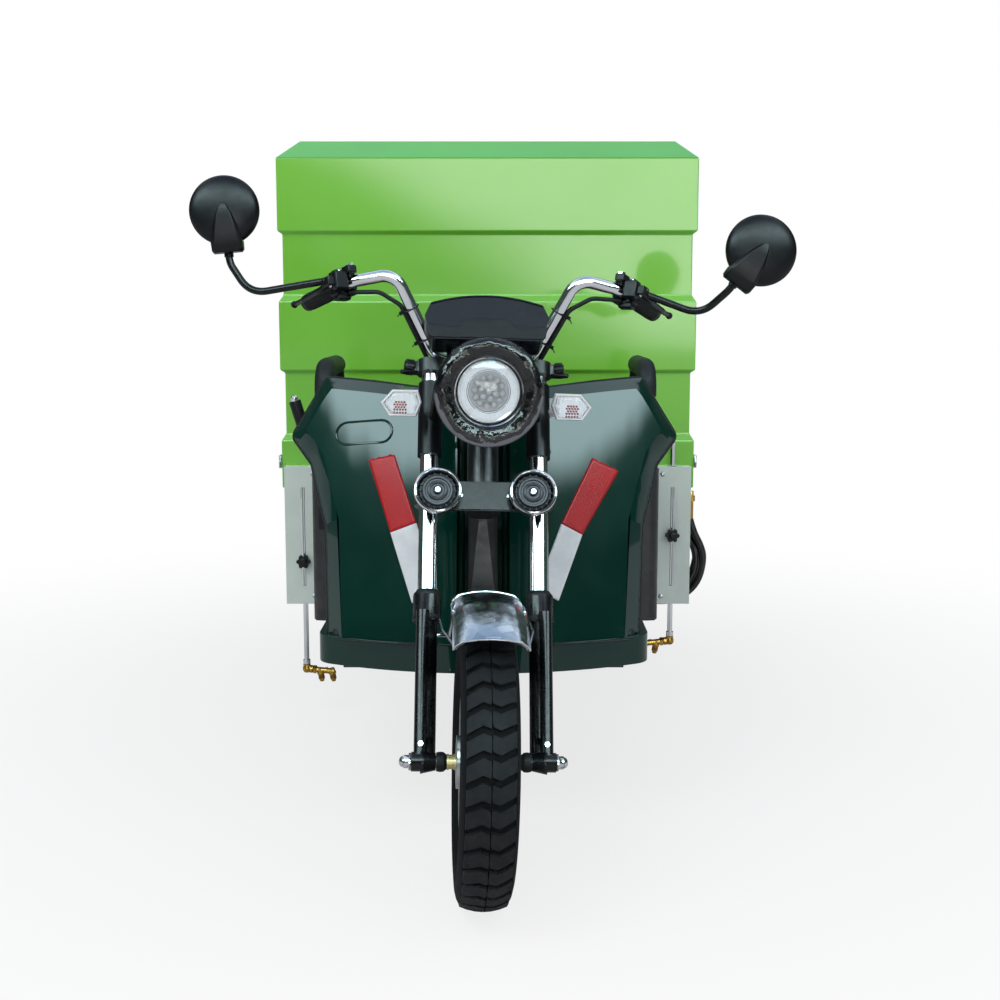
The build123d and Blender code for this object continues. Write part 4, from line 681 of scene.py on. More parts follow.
TYRE_R = 252
BEAD_SEAT = 152.3
CROWN_DROP = 9
TREAD_HALF = 41
LUGS = 40
LUG_DEPTH = 7.5
GROOVE = 12.5
PITCH = tau * TYRE_R / LUGS
GROOVE_LINE = ((-41, 0), (-14, 14), (0, 8))
ALONG_X = facing((0, 0, 0), (1, 0, 0), (0, 1, 0))


def crown(across):
    """The tread's radius at this distance from its middle."""
    return TYRE_R - CROWN_DROP * (across / TREAD_HALF) ** 2


def groove_at(across):
    """How far the groove has climbed at this place in the left column."""
    for (x0, s0), (x1, s1) in zip(GROOVE_LINE, GROOVE_LINE[1:]):
        if across <= x1:
            return s0 + (s1 - s0) * (across - x0) / (x1 - x0)
    return GROOVE_LINE[-1][1]


def on_tread(across, climb, radius):
    """A point of the tyre: across it, and climbing from its front."""
    angle = climb / TYRE_R
    return Vector((across, -radius * cos(angle), radius * sin(angle)))


def lug(bm, side):
    """One block, its foot a little wider than its top."""
    columns = (-40.0, -28.0, -14.0, -1.3)
    rows = {}
    for level, spread in (("top", 0.0), ("foot", 1.3)):
        for i, across in enumerate(columns):
            low = groove_at(across) + GROOVE / 2 - spread
            high = low + PITCH - GROOVE + 2 * spread
            for j, climb in enumerate((low, (low + high) / 2, high)):
                middle_bulge = 0.9 if i == 3 and j == 1 else 0.0
                edge = across + middle_bulge - (spread if i == 0 else 0)
                radius = crown(edge) - (LUG_DEPTH + 1.5 if level == "foot" else 0)
                if side < 0:
                    point = on_tread(edge, climb, radius)
                else:
                    point = on_tread(-edge, PITCH / 2 - climb, radius)
                rows[level, i, j] = bm.verts.new(point)
    for i in range(3):
        for j in range(2):
            bm.faces.new([rows["top", a, b] for a, b in ((i, j), (i + 1, j), (i + 1, j + 1), (i, j + 1))])
    rim_line = [(i, 0) for i in range(4)] + [(3, 1), (3, 2)] + [(i, 2) for i in (2, 1, 0)] + [(0, 1)]
    for a, b in zip(rim_line, rim_line[1:] + rim_line[:1]):
        bm.faces.new((rows["top", *a], rows["top", *b], rows["foot", *b], rows["foot", *a]))


def make_tyre(node, place):
    half_line = [(BEAD_SEAT, 30), (158, 31.2), (165, 30.2), (172, 34.5), (186, 42.8), (189, 45.4),
                 (191, 44.8),
                 (200, 47.9), (202, 49.2), (204, 48.6), (222, 47.6), (232, 45.0), (238.5, 41.4),
                 (crown(38) - LUG_DEPTH, 38), (crown(20) - LUG_DEPTH, 20)]
    line = half_line + [(crown(0) - LUG_DEPTH, 0)] + [(r, -x) for r, x in reversed(half_line)]
    bm = bmesh.new()
    spun(bm, line + [line[0]], ALONG_X, 96)
    piece(node + "_carcass", to_mesh(bm), "groove_black", node, place, (node,))
    bm = bmesh.new()
    lug(bm, -1)
    lug(bm, 1)
    tread = grown(to_mesh(bm, angle=40), ROUND_THE_AXLE, Count=LUGS, Finish=materials["tyre_black"])
    piece(node + "_tread", tread, "tyre_black", node, place, (node,))
    bm = bmesh.new()
    spun(bm, [(crown(0) - LUG_DEPTH - 0.5, 2.9), (crown(0) - LUG_DEPTH + 1.2, 3.4),
              (crown(0) - LUG_DEPTH - 0.5, 3.9)], ALONG_X, 96)
    piece(node + "_mould_line", to_mesh(bm), "tyre_black", node, place, (node,))


REAR_AXLE = Vector((0, 762, 252))
FRONT_WHEEL = TURN @ Matrix.Translation(AXLE)
make_tyre("front_tyre", FRONT_WHEEL)
for side, hand in ((1, "left"), (-1, "right")):
    make_tyre("rear_tyre_" + hand, Matrix.Translation(REAR_AXLE + TO_THE_SIDE * side * 420))

# Fork

for node, coat in (("fork_lower_legs", "fork_black"), ("fork_stanchions", "chrome"),
                   ("fork_covers", "plastic_black"),
                   ("fork_yokes", "frame_black"), ("front_axle", "steel_bright"), ("front_rim", "zinc"),
                   ("rear_rim_left", "zinc"), ("rear_rim_right", "zinc")):
    refined(node, coat)

LEG_X, LEG_BACK = 103, 34


def dress_fork():
    """Dust seals, spacers, dome nuts, drain screws and the clamp knobs on the upper yoke."""
    seals, spacers, nuts, knobs = bmesh.new(), bmesh.new(), bmesh.new(), bmesh.new()
    for side in (-1, 1):
        seal = facing(fork(side * LEG_X, LEG_BACK, 304), SLOPE_UP)
        spun(seals, [(18.2, 0), (25.4, 0), (25.0, 4), (21.5, 8), (20, 11), (18.2, 11)], seal)
        spun(seals, [(26.05, -46), (27.0, -44), (27.0, -39), (26.05, -37)], seal)
        outward = facing(fork(side * 48.6, 0, 0), (side, 0, 0), (0, 1, 0))
        spun(spacers, [(8.2, 0.2), (14.2, 0.2), (14.2, 3), (12.5, 4), (12.5, 12), (14.0, 13), (14.0, 16),
                       (8.2, 16)],
             outward)
        spun(seals, [(8.2, 16.2), (12.5, 16.2), (17.0, 22), (17.6, 28), (16.4, 34.6), (8.2, 34.6)], outward)
        nut = facing(fork(side * 131, 0, 0), (side, 0, 0), (0, 1, 0))
        spun(nuts, [(0, 17.5), (4.5, 16.8), (8.2, 14.2), (10.2, 10.2)], nut, 32)
        screw = facing(fork(side * 111, -11.4, 30), SLOPE_BACK * -1)
        slab(nuts, polygon(5, 6), 0, 3.4, screw)
        knob = facing(fork(side * 128, LEG_BACK, 755), (side, -0.15, 0.1))
        spun(knobs, [(6, -6), (9, -4), (9, 6), (13.5, 8), (14.5, 12), (14.5, 22), (12, 26), (0, 27)], knob,
             24)
        for step in range(9):
            angle = tau * step / 9
            rib = knob @ Matrix.Translation((14.2 * cos(angle), 14.2 * sin(angle), 0))
            spun(knobs, [(0, 9.5), (1.7, 10), (1.7, 23), (0, 24)], rib, 8)
        lever = [fork(side * 130, LEG_BACK, 748), fork(side * 146, LEG_BACK - 12, 742),
                 fork(side * 160, LEG_BACK - 20, 738)]
        bar(knobs, lever, [6, 5.2, 4.4], 10)
    piece("fork_seals", to_mesh(seals), "rubber_black", "fork_lower_legs", TURN)
    piece("axle_spacers", to_mesh(spacers), "pale_brass", "front_axle", TURN)
    piece("axle_dome_nuts", to_mesh(nuts), "steel_bright", "front_axle", TURN)
    piece("yoke_clamp_knobs", softened(to_mesh(knobs), 0.6), "plastic_black", "fork_yokes", TURN)


FENDER_R, FENDER_START, FENDER_END = 298, 59.4, 102
SOURCE_START = 55               # where the fender starts in the source
# Distance across, and how far the fender lies there below its crown
FENDER_DROP = ((0, 0), (24, 1.8), (48, 7), (58, 15), (62, 24))


def fender_drop(across):
    """How far the fender lies below its crown at this distance from its middle."""
    for (x0, d0), (x1, d1) in zip(FENDER_DROP, FENDER_DROP[1:]):
        if abs(across) <= x1:
            return d0 + (d1 - d0) * (abs(across) - x0) / (x1 - x0)
    return FENDER_DROP[-1][1]


def shortened(point):
    """The photo's fender ends higher in front: the source's angles round the axle are drawn together."""
    level = TURN.inverted() @ point - AXLE
    radius, angle = sqrt(level.y ** 2 + level.z ** 2), degrees(atan2(level.z, -level.y))
    share = (FENDER_END - angle) / (FENDER_END - SOURCE_START)
    angle = radians(FENDER_END - share * (FENDER_END - FENDER_START))
    return TURN @ (AXLE + Vector((level.x, -radius * cos(angle), radius * sin(angle))))


def trim_fender():
    """The fender, its rolled edge, and a wire stay each side down to the fork's caps."""
    refined("front_fender", "fender_chrome", move=shortened)
    def at(across, degrees):
        radius = FENDER_R - fender_drop(across)
        angle = radians(degrees)
        return AXLE + Vector((across, -radius * cos(angle), radius * sin(angle)))
    wide = [62, 58, 48, 36, 24, 12, 0, -12, -24, -36, -48, -58, -62]
    along = [FENDER_START + (FENDER_END - FENDER_START) * k / 9 for k in range(1, 9)]
    loop = [at(x, FENDER_START) for x in wide] + [at(-62, angle) for angle in along]
    loop += [at(x, FENDER_END) for x in reversed(wide)] + [at(62, angle) for angle in reversed(along)]
    edge, wires = bmesh.new(), bmesh.new()
    bar(edge, loop, 2.4, 8, closed=True)
    piece("fender_rolled_edge", to_mesh(edge), "steel_bright", "front_fender", TURN)
    for side in (-1, 1):
        cap = fork(side * 82, 24, 262)
        corner = at(side * 62, FENDER_START + 2)
        bar(wires, bent([cap, cap.lerp(corner, 0.5) + Vector((side * 6, -14, 4)), corner], 30, 5), 2.2, 8)
    piece("fender_wire_stays", to_mesh(wires), "steel_bright", "front_fender", TURN)


dress_fork()
trim_fender()

# Headlamp: height along its axis runs backwards from the bezel's front

LAMP = facing((0, -1092, 890), (0, 1, 0))
LENS_R = 60


def make_headlamp():
    refined("headlamp_shell", "plastic_black", 30)
    bright = bmesh.new()
    spun(bright, [(94.6, 12), (96.6, 10), (96.9, 14), (95.6, 18), (94.6, 18)], LAMP, 96)
    spun(bright, [(60.6, 3.5), (62.6, 1.5), (64.4, 3.0), (62.8, 5.4)], LAMP, 96)
    piece("headlamp_chrome_rings", to_mesh(bright), "chrome", "headlamp_shell", TURN)

    # Lower lip: between the bezel's circle and the same circle raised
    lip = bmesh.new()
    outer, raised, lift, steps = 99.5, 95.6, 16, 48
    start = pi + radians(2.4)
    made = []
    for k in range(steps + 1):
        angle = start + (pi - radians(4.8)) * k / steps
        across, up = cos(angle), sin(angle)
        inner = lift * up + sqrt(raised ** 2 - (lift * across) ** 2)
        line = [(outer, 29), (outer, -3.5), (outer - 1.8, -5.6), (inner + 1.2, -5.6), (inner, -4.4),
                (inner, 1)]
        made.append([lip.verts.new(LAMP @ Vector((r * across, -r * up, z))) for r, z in line])
    for one, two in zip(made, made[1:]):
        for k in range(5):
            lip.faces.new((one[k], one[k + 1], two[k + 1], two[k]))
    piece("headlamp_lip", to_mesh(lip, angle=40), "grey_plastic", "headlamp_shell", TURN)

    glass = bmesh.new()
    dome = [(LENS_R * k / 10, 2 + 12 * (k / 10) ** 2) for k in range(11)]
    inside = [(r, z + 3) for r, z in dome[1:-1]]
    spun(glass, [(0, 5)] + inside + [(57, 17), (57, 24), (LENS_R, 24)] + dome[::-1], LAMP, 72)
    piece("headlamp_lens_dome", to_mesh(glass), "clear_glass", "headlamp_shell", TURN, ("headlamp_lens",))

    bowl = bmesh.new()
    spun(bowl, [(56.6, 12), (55.6, 16), (50, 20), (40, 22.5), (38.5, 21), (37, 21), (36, 25), (20, 26),
                (0, 26.5),
                (0, 28.5), (57.2, 28.5), (57.2, 12)], LAMP, 72)
    for step in range(4):
        angle = tau * step / 4 + radians(35)
        spoke = LAMP @ Matrix.Rotation(angle, 4, "Z")
        brick(bowl, (38, 56), (-1.6, 1.6), (15, 24), spoke)
        brick(bowl, (39, 55), (-6.5, -5.3), (17, 24), spoke)
        brick(bowl, (39, 55), (5.3, 6.5), (17, 24), spoke)
    piece("headlamp_reflector", to_mesh(bowl), "reflector_chrome", "headlamp_shell", TURN,
          ("headlamp_lens",))

    board, beads, cups = bmesh.new(), bmesh.new(), bmesh.new()
    spun(board, [(0, 22.6), (35.8, 22.6), (35.8, 25), (0, 25)], LAMP)
    places = [(0, 0)] + polygon(13.4, 6, 0.3) + polygon(26.2, 12, 0.1)
    for x, y in places:
        spot = LAMP @ Matrix.Translation((x, y, 0))
        spun(cups, [(3.2, 22), (5.0, 18.5), (6.3, 14.8), (6.6, 15.2), (6.5, 22.6)], spot, 16)
        spun(beads, [(0, 11.5), (2.6, 12.2), (4.6, 14.2), (5.8, 17.5), (5.0, 20.5), (3.0, 22.2), (0, 22.4)],
             spot, 16)
    piece("headlamp_board", to_mesh(board), "white_plastic", "headlamp_shell", TURN, ("headlamp_lens",))
    piece("headlamp_cups", to_mesh(cups), "white_plastic", "headlamp_shell", TURN, ("headlamp_lens",))
    piece("headlamp_beads", to_mesh(beads), "bead_glass", "headlamp_shell", TURN, ("headlamp_lens",))

    film = bmesh.new()
    rows = []
    steps = 96
    for k, (radius, depth) in enumerate(((63, -1.0), (70, -4.5), (78, -7.5), (86, -8.5), (93, -5.0),
                                         (98, 2.0), (99.5, 12))):
        ring = []
        for i in range(steps):
            angle = tau * i / steps
            crease = 2.6 * sin(angle * 9 + k * 1.7) * sin(angle * 4 + 0.8) + 1.4 * sin(angle * 23 + k * 2.3)
            amount = sin(pi * min(1, k / 6)) if k < 6 else 0.2
            ring.append(film.verts.new(LAMP @ Vector((radius * cos(angle), radius * sin(angle),
                                                      depth + crease * amount))))
        rows.append(ring)
    for one, two in zip(rows, rows[1:]):
        for i in range(steps):
            j = (i + 1) % steps
            film.faces.new((one[i], one[j], two[j], two[i]))
    mesh = to_mesh(film, angle=180)

    def thicken(holder):
        holder.modifiers.new("skin", "SOLIDIFY").thickness = 0.3
    piece("headlamp_film", applied(mesh, thicken), "clear_film", "headlamp_shell", TURN)


make_headlamp()

# Horns, blank plate and front indicators


HORN_Z = 489


def make_horns():
    rims, cups, discs = bmesh.new(), bmesh.new(), bmesh.new()
    for side in (-1, 1):
        front = facing(fork(side * 88, -23, HORN_Z) + SLOPE_BACK * 20, SLOPE_BACK * -1)
        spun(rims, [(36, 26), (37.5, 31), (40, 33.5), (42.5, 32.5), (44.3, 28), (44.3, 22), (42, 19),
                    (38, 20)], front, 72)
        spun(cups, [(0, 6), (30, 6), (42, 12), (42.5, 20), (38, 24), (36.5, 26), (33, 21), (28, 20),
                    (0, 20)], front, 64)
        spun(discs, [(27.5, 20.5), (28.5, 24), (27, 26), (24, 26), (22.5, 23.5), (19.5, 23.5), (18.5, 27.5),
                     (16, 29),
                     (13.5, 28), (12.5, 25), (9, 25)], front, 56)
        spun(discs, [(9, 20), (9, 26)], front, 32)
        spun(rims, [(0, 33), (4.6, 33), (5.6, 31.6), (5.6, 24), (0, 24)], front, 24)
        for step in range(18):
            angle = tau * step / 18
            slot = front @ Matrix.Rotation(angle, 4, "Z")
            brick(cups, (29.5, 35), (-1.2, 1.2), (19, 23), slot)
    piece("horn_chrome_rings", to_mesh(rims), "chrome", "disc_horns", TURN, ("disc_horns",))
    piece("horn_cups", to_mesh(cups), "plastic_black", "disc_horns", TURN, ("disc_horns",))
    piece("horn_discs", to_mesh(discs), "horn_grey", "disc_horns", TURN, ("disc_horns",))
    strap = bmesh.new()
    for side in (-1, 1):
        bar(strap, [fork(side * 88, -3, HORN_Z), fork(side * 88, 7, HORN_Z)], 9, 20)
    plate = facing(fork(0, 5, HORN_Z), SLOPE_BACK * -1)
    outline = [(-57, -24), (-50, -27), (50, -27), (57, -24), (57, 24), (50, 27), (-50, 27), (-57, 24)]
    slab(strap, outline, 2.5, 5.2, plate)
    piece("blank_front_plate", softened(to_mesh(strap), 0.8), "fork_black", "fork_yokes", TURN, )
    screws = bmesh.new()
    for x in (-44, 44):
        spun(screws, [(0, 7.6), (3.2, 7.2), (4.4, 5.2)], plate @ Matrix.Translation((x, 0, 0)), 20)
    piece("plate_screws", to_mesh(screws), "steel_bright", "fork_yokes", TURN)


INDICATOR_OUTLINE = ((38, 0), (17, 24), (-31, 24.5), (-38, 2), (-28, -24.5), (22, -24.5))


def make_indicators():
    housings, rims, lenses, cores, reflectors = (bmesh.new() for _ in range(5))
    for side in (-1, 1):
        front = facing((side * 158, -1012, 862), (0, -1, 0))
        outline = [(side * x, y) for x, y in INDICATOR_OUTLINE]

        def shrunk(share):
            return [(x * share, y * share) for x, y in outline]
        slab(housings, outline, -1, 3, front)
        back = front @ Matrix.Rotation(pi, 4, "X")
        slab(housings, [(x, -y) for x, y in outline], 0, 24, back, 0.62)
        for low, high, wide, narrow in ((3, 10, 1.0, 1.0), (10, 14, 1.0, 0.94)):
            ring_low = [rims.verts.new(front @ Vector((x * wide, y * wide, low))) for x, y in outline]
            ring_high = [rims.verts.new(front @ Vector((x * narrow, y * narrow, high))) for x, y in outline]
            for i in range(6):
                rims.faces.new((ring_low[i], ring_low[(i + 1) % 6], ring_high[(i + 1) % 6], ring_high[i]))
        ring_out = [rims.verts.new(front @ Vector((x * 0.94, y * 0.94, 14))) for x, y in outline]
        ring_in = [rims.verts.new(front @ Vector((x * 0.86, y * 0.82, 13))) for x, y in outline]
        deep = [rims.verts.new(front @ Vector((x * 0.84, y * 0.80, 3))) for x, y in outline]
        for i in range(6):
            j = (i + 1) % 6
            rims.faces.new((ring_out[i], ring_out[j], ring_in[j], ring_in[i]))
            rims.faces.new((ring_in[i], ring_in[j], deep[j], deep[i]))
        slab(lenses, [(x * 0.86, y * 0.82) for x, y in outline], 11, 16.5, front, 0.80)
        slab(reflectors, [(x * 0.84, y * 0.80) for x, y in outline], 3, 4.2, front)
        for x in (-26, -21, -16, 16, 21, 26):
            brick(reflectors, (x - 0.7, x + 0.7), (-14, 14), (4, 8.5), front)
        for row in range(4):
            for step in range(5 - row % 2):
                spot = front @ Matrix.Translation((side * 2 + (step - 2 + row % 2 / 2) * 5.2,
                                                   row * 4.6 - 12.5, 0))
                spun(cores, [(0, 8.4), (1.5, 7.8), (2.1, 6.2), (2.1, 4.0)], spot, 14)
        bar(housings, [Vector((side * 158, -998, 862)), fork(side * 126, 34, 668)], 8, 16)
    for name, bm, coat in (("indicator_housings", housings, "white_plastic"),
                           ("indicator_rims", rims, "white_plastic"),
                           ("indicator_lenses", lenses, "clear_glass"),
                           ("indicator_cores", cores, "amber_core"),
                           ("indicator_reflectors", reflectors, "reflector_chrome")):
        mesh = to_mesh(bm)
        if coat in ("white_plastic", "clear_glass"):
            mesh = softened(mesh, 0.9)
        piece(name, mesh, coat, "front_indicators", TURN, ("front_indicators",))


make_horns()
make_indicators()

# Instrument pod

POD_LEAN = Matrix.Rotation(radians(-28), 4, "X")
POD = Matrix.Translation((0, -925, 1008)) @ POD_LEAN @ facing((0, 0, 0), (0, -1, 0))


def make_pod():
    """The arched housing, its lower shell with a raised middle, and the dial under the hood behind."""
    refined("instrument_pod", "pod_black", 24)
    lower = bmesh.new()
    outline = [(-111, -39), (-104, -44), (104, -44), (111, -39), (115, -18), (113, -16), (60, -22), (42, -5),
               (37, -3), (-37, -3), (-42, -5), (-60, -22), (-113, -16), (-115, -18)]
    slab(lower, outline, 27, 32.2, POD, 0.985)
    piece("pod_lower_shell", softened(to_mesh(lower), 2.2, 3), "plastic_black", "instrument_pod", TURN)
    hood = bmesh.new()
    arch = [(-106, 27)] + [(x, 45.5 - 18.5 * (x / 106) ** 2) for x in range(-96, 97, 16)] + [(106, 27)]
    bar(hood, [POD @ Vector((x, y, 30)) for x, y in arch], 2.2, 10)
    piece("pod_hood_lip", to_mesh(hood), "pod_black", "instrument_pod", TURN)
    dial = bmesh.new()
    slab(dial, [(-84, -22), (84, -22), (84, 14), (60, 28), (-60, 28), (-84, 14)], -31.2, -30, POD)
    piece("pod_dial_face", softened(to_mesh(dial), 0.5), "mirror_glass", "instrument_pod", TURN)


# Handlebar, its cables and controls

BAR_CENTRE, BAR_BEND_1 = Vector((92, -856, 941)), Vector((176, -889, 1101))
BAR_BEND_2, BAR_END = Vector((258, -883, 1083)), Vector((348, -750, 1042))
GRIP_LENGTH = 118


def mirrored(point, side):
    """The point on this side of the vehicle."""
    return Vector((side * point[0], point[1], point[2]))


def bar_place(side, distance):
    """A place on the handlebar's end run: Z towards the middle, X upwards."""
    end, inner = mirrored(BAR_END, side), mirrored(BAR_BEND_2, side)
    direction = (inner - end).normalized()
    return facing(end + direction * distance, direction, (0, 0, 1))


def make_handlebar():
    refined("handlebar", "chrome")
    cables, ties = bmesh.new(), bmesh.new()
    for side in (-1, 1):
        run = (mirrored(BAR_CENTRE, side) - mirrored(BAR_BEND_1, side)).normalized()
        outward = Vector((side * 0.885, 0, -0.465))
        start = bar_place(side, GRIP_LENGTH + 33).translation + Vector((side * -2.4, -3.5, -16.7))
        for radius, off, shift in ((4.4, 16.9, 0), (3.2, 15.2, 9)):
            beside = Vector((0, shift, 0))
            line = [start + beside, mirrored(BAR_BEND_1, side) + Vector((side * 29, 3, -36)) + beside,
                    mirrored(BAR_BEND_1, side) + run * 60 + outward * off + beside,
                    mirrored(BAR_CENTRE, side) + outward * off + beside,
                    Vector((side * 76, -844, 899)) + beside, Vector((side * 50, -842, 862))]
            bar(cables, bent(line, 30, 6), radius, 12)
        for distance in (74, 140):
            middle = mirrored(BAR_BEND_1, side) + run * distance + outward * 4.6 + Vector((0, 2, 0))
            hoop = facing(middle, run, outward)
            bar(ties, [hoop @ Vector((18.4 * cos(a), 15.4 * sin(a), 0))
                       for a in (tau * k / 28 for k in range(28))],
                1.5, 8, closed=True)
            brick(ties, (16.5, 22.5), (-3.2, 3.2), (-3.4, 3.4), hoop)
            bar(ties, [hoop @ Vector((20, 2, 0)), hoop @ Vector((28, 12, 5))], 1.1, 6)
    for name, bm, coat in (("sheathed_cables", cables, "rubber_black"),
                           ("cable_ties", ties, "plastic_black")):
        piece(name, to_mesh(bm), coat, "control_cables", TURN, ("control_cables",))

    refined("handlebar_grips", "rubber_black")
    for side in (-1, 1):
        ring = bmesh.new()
        spun(ring, [(16.9, -1.1), (17.9, -0.7), (17.9, 0.7), (16.9, 1.1)], HERE, 28)
        row = grown(to_mesh(ring), IN_A_ROW, Count=24, Step=(0, 0, 4.2), Finish=materials["rubber_black"])
        row.transform(bar_place(side, 8))
        piece("grip_ribs_" + ("left" if side > 0 else "right"), row, "rubber_black", "handlebar_grips", TURN)


def make_controls():
    """Switch boxes, lever perches with their blades, buttons and small bright screws."""
    refined("handlebar_controls", "plastic_black")
    boxes, small, bright, red = (bmesh.new() for _ in range(4))
    for side in (-1, 1):
        at = bar_place(side, GRIP_LENGTH + 4)
        forward = 1 if (at.to_3x3() @ Vector((0, 1, 0))).y < 0 else -1

        def ahead(low, high):
            return (low, high) if forward > 0 else (-high, -low)
        brick(boxes, (-21, 26), ahead(-20, 26), (2, 27), at)
        brick(boxes, (-30, -14), ahead(-8, 22), (4, 24), at)
        brick(boxes, (-16, 18), ahead(12, 40), (34, 52), at)
        brick(boxes, (-9, 10), ahead(24, 54), (20, 46), at)
        brick(boxes, (14, 30), ahead(-6, 14), (30, 58), at)
        spun(small, [(0, 30), (5, 29.4), (6.2, 27), (6.2, 20), (0, 20)],
             at @ facing((0, forward * 8, 14), (1, 0, 0), (0, 1, 0)), 20)
        brick(small, (24, 29), ahead(10, 20), (6, 22), at)
        spun(red, [(0, 34), (3.2, 33.6), (4.4, 32), (4.4, 26), (0, 26)],
             at @ facing((0, -forward * 8, 10), (1, 0, 0), (0, 1, 0)), 16)
        for x, y, z in ((20, 22, 42), (-8, 40, 38), (6, 46, 30), (-24, 10, 14)):
            screw = at @ facing((x, forward * y, z), (0, forward, 0.2), (1, 0, 0))
            spun(bright, [(0, 8.6), (3.0, 8.0), (4.2, 6.2), (4.2, 0), (0, 0)], screw, 16)
        stem = at @ facing((28, forward * 2, 46), (1, 0, 0), (0, 1, 0))
        slab(bright, polygon(8, 6), 0, 6, stem)
        # The lever's blade: a flat bent strip from its perch past the grip's end
        root = at @ Vector((-2, forward * 44, 30))
        tip = mirrored(BAR_END, side) + Vector((side * 26, -48, -6))
        blade = bent([root, root.lerp(tip, 0.22) + Vector((0, -12, -4)),
                      root.lerp(tip, 0.75) + Vector((0, -8, -2)), tip], 40, 6)
        bar(small, blade, [6.2 - 2.2 * k / (len(blade) - 1) for k in range(len(blade))], 12)
    piece("switch_boxes", softened(to_mesh(boxes), 3.2, 3), "plastic_black", "handlebar_controls", TURN)
    piece("levers_and_buttons", softened(to_mesh(small), 0.5), "fork_black", "handlebar_controls", TURN)
    piece("control_screws", to_mesh(bright), "steel_bright", "handlebar_controls", TURN)
    piece("stop_buttons", to_mesh(red), "red_plastic", "handlebar_controls", TURN)


# Mirrors

MIRRORS = {
    # side: foot on the perch, elbow, neck, head's centre
    -1: ((-262, -876, 1092), (-455, -850, 1054), (-496, -834, 1112), (-508, -820, 1212)),
    1: ((262, -876, 1092), (414, -914, 1039), (458, -947, 1086), (511, -970, 1162)),
}
MIRROR_ARM_R = 7.2


def make_mirrors():
    """Round heads: a domed back with a wide fin down to its foot, and the glass towards the rider."""
    backs, glasses, arms = bmesh.new(), bmesh.new(), bmesh.new()
    for foot, elbow, neck, head in MIRRORS.values():
        neck, head = Vector(neck), Vector(head)
        at = facing(head, (0, -1, 0.12), head - neck)
        spun(backs, [(63.5, 2.4), (64.5, -0.4), (67.2, 0.4), (67.6, 6), (66.4, 11), (60, 17), (50, 21),
                     (37, 24.4),
                     (20, 26.8), (0, 27.6)], at, 72)
        spun(backs, [(63.5, 2.4), (0, 2.4)], at, 72)
        spun(glasses, [(0, 1.6), (63.4, 1.6), (63.4, 2.4), (0, 2.4)], at, 72)
        # Fin: wide at the foot, narrowing over the dome towards its middle
        fin = [(-83, 27, 2, 20), (-78, 31, 2, 24), (-64, 31.5, 3, 28), (-48, 28, 8, 30.6), (-30, 23, 14, 32),
               (-12, 17, 18, 32.6), (2, 10.5, 20, 31.6), (12, 4, 22, 28.2)]
        rows = []
        for x, half, low, high in fin:
            rows.append([backs.verts.new(at @ Vector((x, y, z))) for y, z in (
                (-half, low), (-half * 0.96, high - 5), (-half * 0.74, high), (half * 0.74, high),
                (half * 0.96, high - 5), (half, low))])
        for one, two in zip(rows, rows[1:]):
            for k in range(6):
                m = (k + 1) % 6
                backs.faces.new((one[k], one[m], two[m], two[k]))
        backs.faces.new(rows[0])
        backs.faces.new(rows[-1])
        aim = (head - neck).normalized()
        bar(arms, bent([foot, elbow, neck, neck + aim * 24], 58, 12), MIRROR_ARM_R, 20)
        spun(arms, [(MIRROR_ARM_R, 11), (9, 12), (9, 17), (8.6, 21)], facing(neck, aim), 24)
        spun(arms, [(0, -24), (8, -24), (9, -23), (9, 7), (8, 8), (0, 8)], facing(foot, (0, 0, 1)), 24)
    piece("mirror_backs", softened(to_mesh(backs, angle=38), 0.8, 2, 38), "plastic_black", "mirror_heads",
          TURN, ("mirror_heads",))
    piece("mirror_glasses", to_mesh(glasses), "mirror_glass", "mirror_heads", TURN, ("mirror_heads",))
    piece("bent_arms", to_mesh(arms), "fork_black", "mirror_arms", TURN, ("mirror_arms",))


make_pod()
make_handlebar()
make_controls()
make_mirrors()

# Front sheet with its trim, reflective strips and pressings

SHIELD_FOOT = Vector((0, -962, 396))
SHIELD_LEAN = radians(18)
SHIELD_BEND = 864.2             # radius of the sheet's sweep across


def on_shield(x, height, out=0.0):
    """A point on the front sheet: across it, up it, and this far in front of it."""
    share = x / SHIELD_BEND
    straight = sqrt(1 - share ** 2)
    upright = Vector((x + share * out, SHIELD_BEND - (SHIELD_BEND + out) * straight, height))
    return SHIELD_FOOT + Matrix.Rotation(-SHIELD_LEAN, 3, "X") @ upright


# Corners of the source's sheet on one side, and how much further out and up the photo shows them
CORNER_MOVES = (((0, 500), (0, 15)), ((134, 500), (0, 21)), ((300, 530), (36, 28)), ((380, 420), (12, 33)),
                ((350, 345), (6, 44)), ((330, 204), (-3, 45)), ((324, 20), (-5, 0)))


def moved_on_sheet(x, height):
    """A place on the sheet, carried by the nearest stretch of its outline; the middle channel stays."""
    here = Vector((abs(x), height))
    nearest = None
    for (one, move_1), (two, move_2) in zip(CORNER_MOVES, CORNER_MOVES[1:]):
        one, along = Vector(one), Vector(two) - Vector(one)
        share = min(1, max(0, (here - one).dot(along) / along.length_squared))
        distance = (one + along * share - here).length
        if nearest is None or distance < nearest[0]:
            nearest = (distance, Vector(move_1).lerp(Vector(move_2), share))
    out, up = nearest[1] * min(1, max(0, (abs(x) - 70) / 56))
    return x + (out if x > 0 else -out), height + up * min(1, max(0, height / 60))


def sheet_place(point):
    """Where a point lies on the sheet: across it, up it, and how far in front of it."""
    local = Matrix.Rotation(SHIELD_LEAN, 3, "X") @ (point - SHIELD_FOOT)
    reach = sqrt(local.x ** 2 + (SHIELD_BEND - local.y) ** 2)
    return SHIELD_BEND * local.x / reach, local.z, reach - SHIELD_BEND


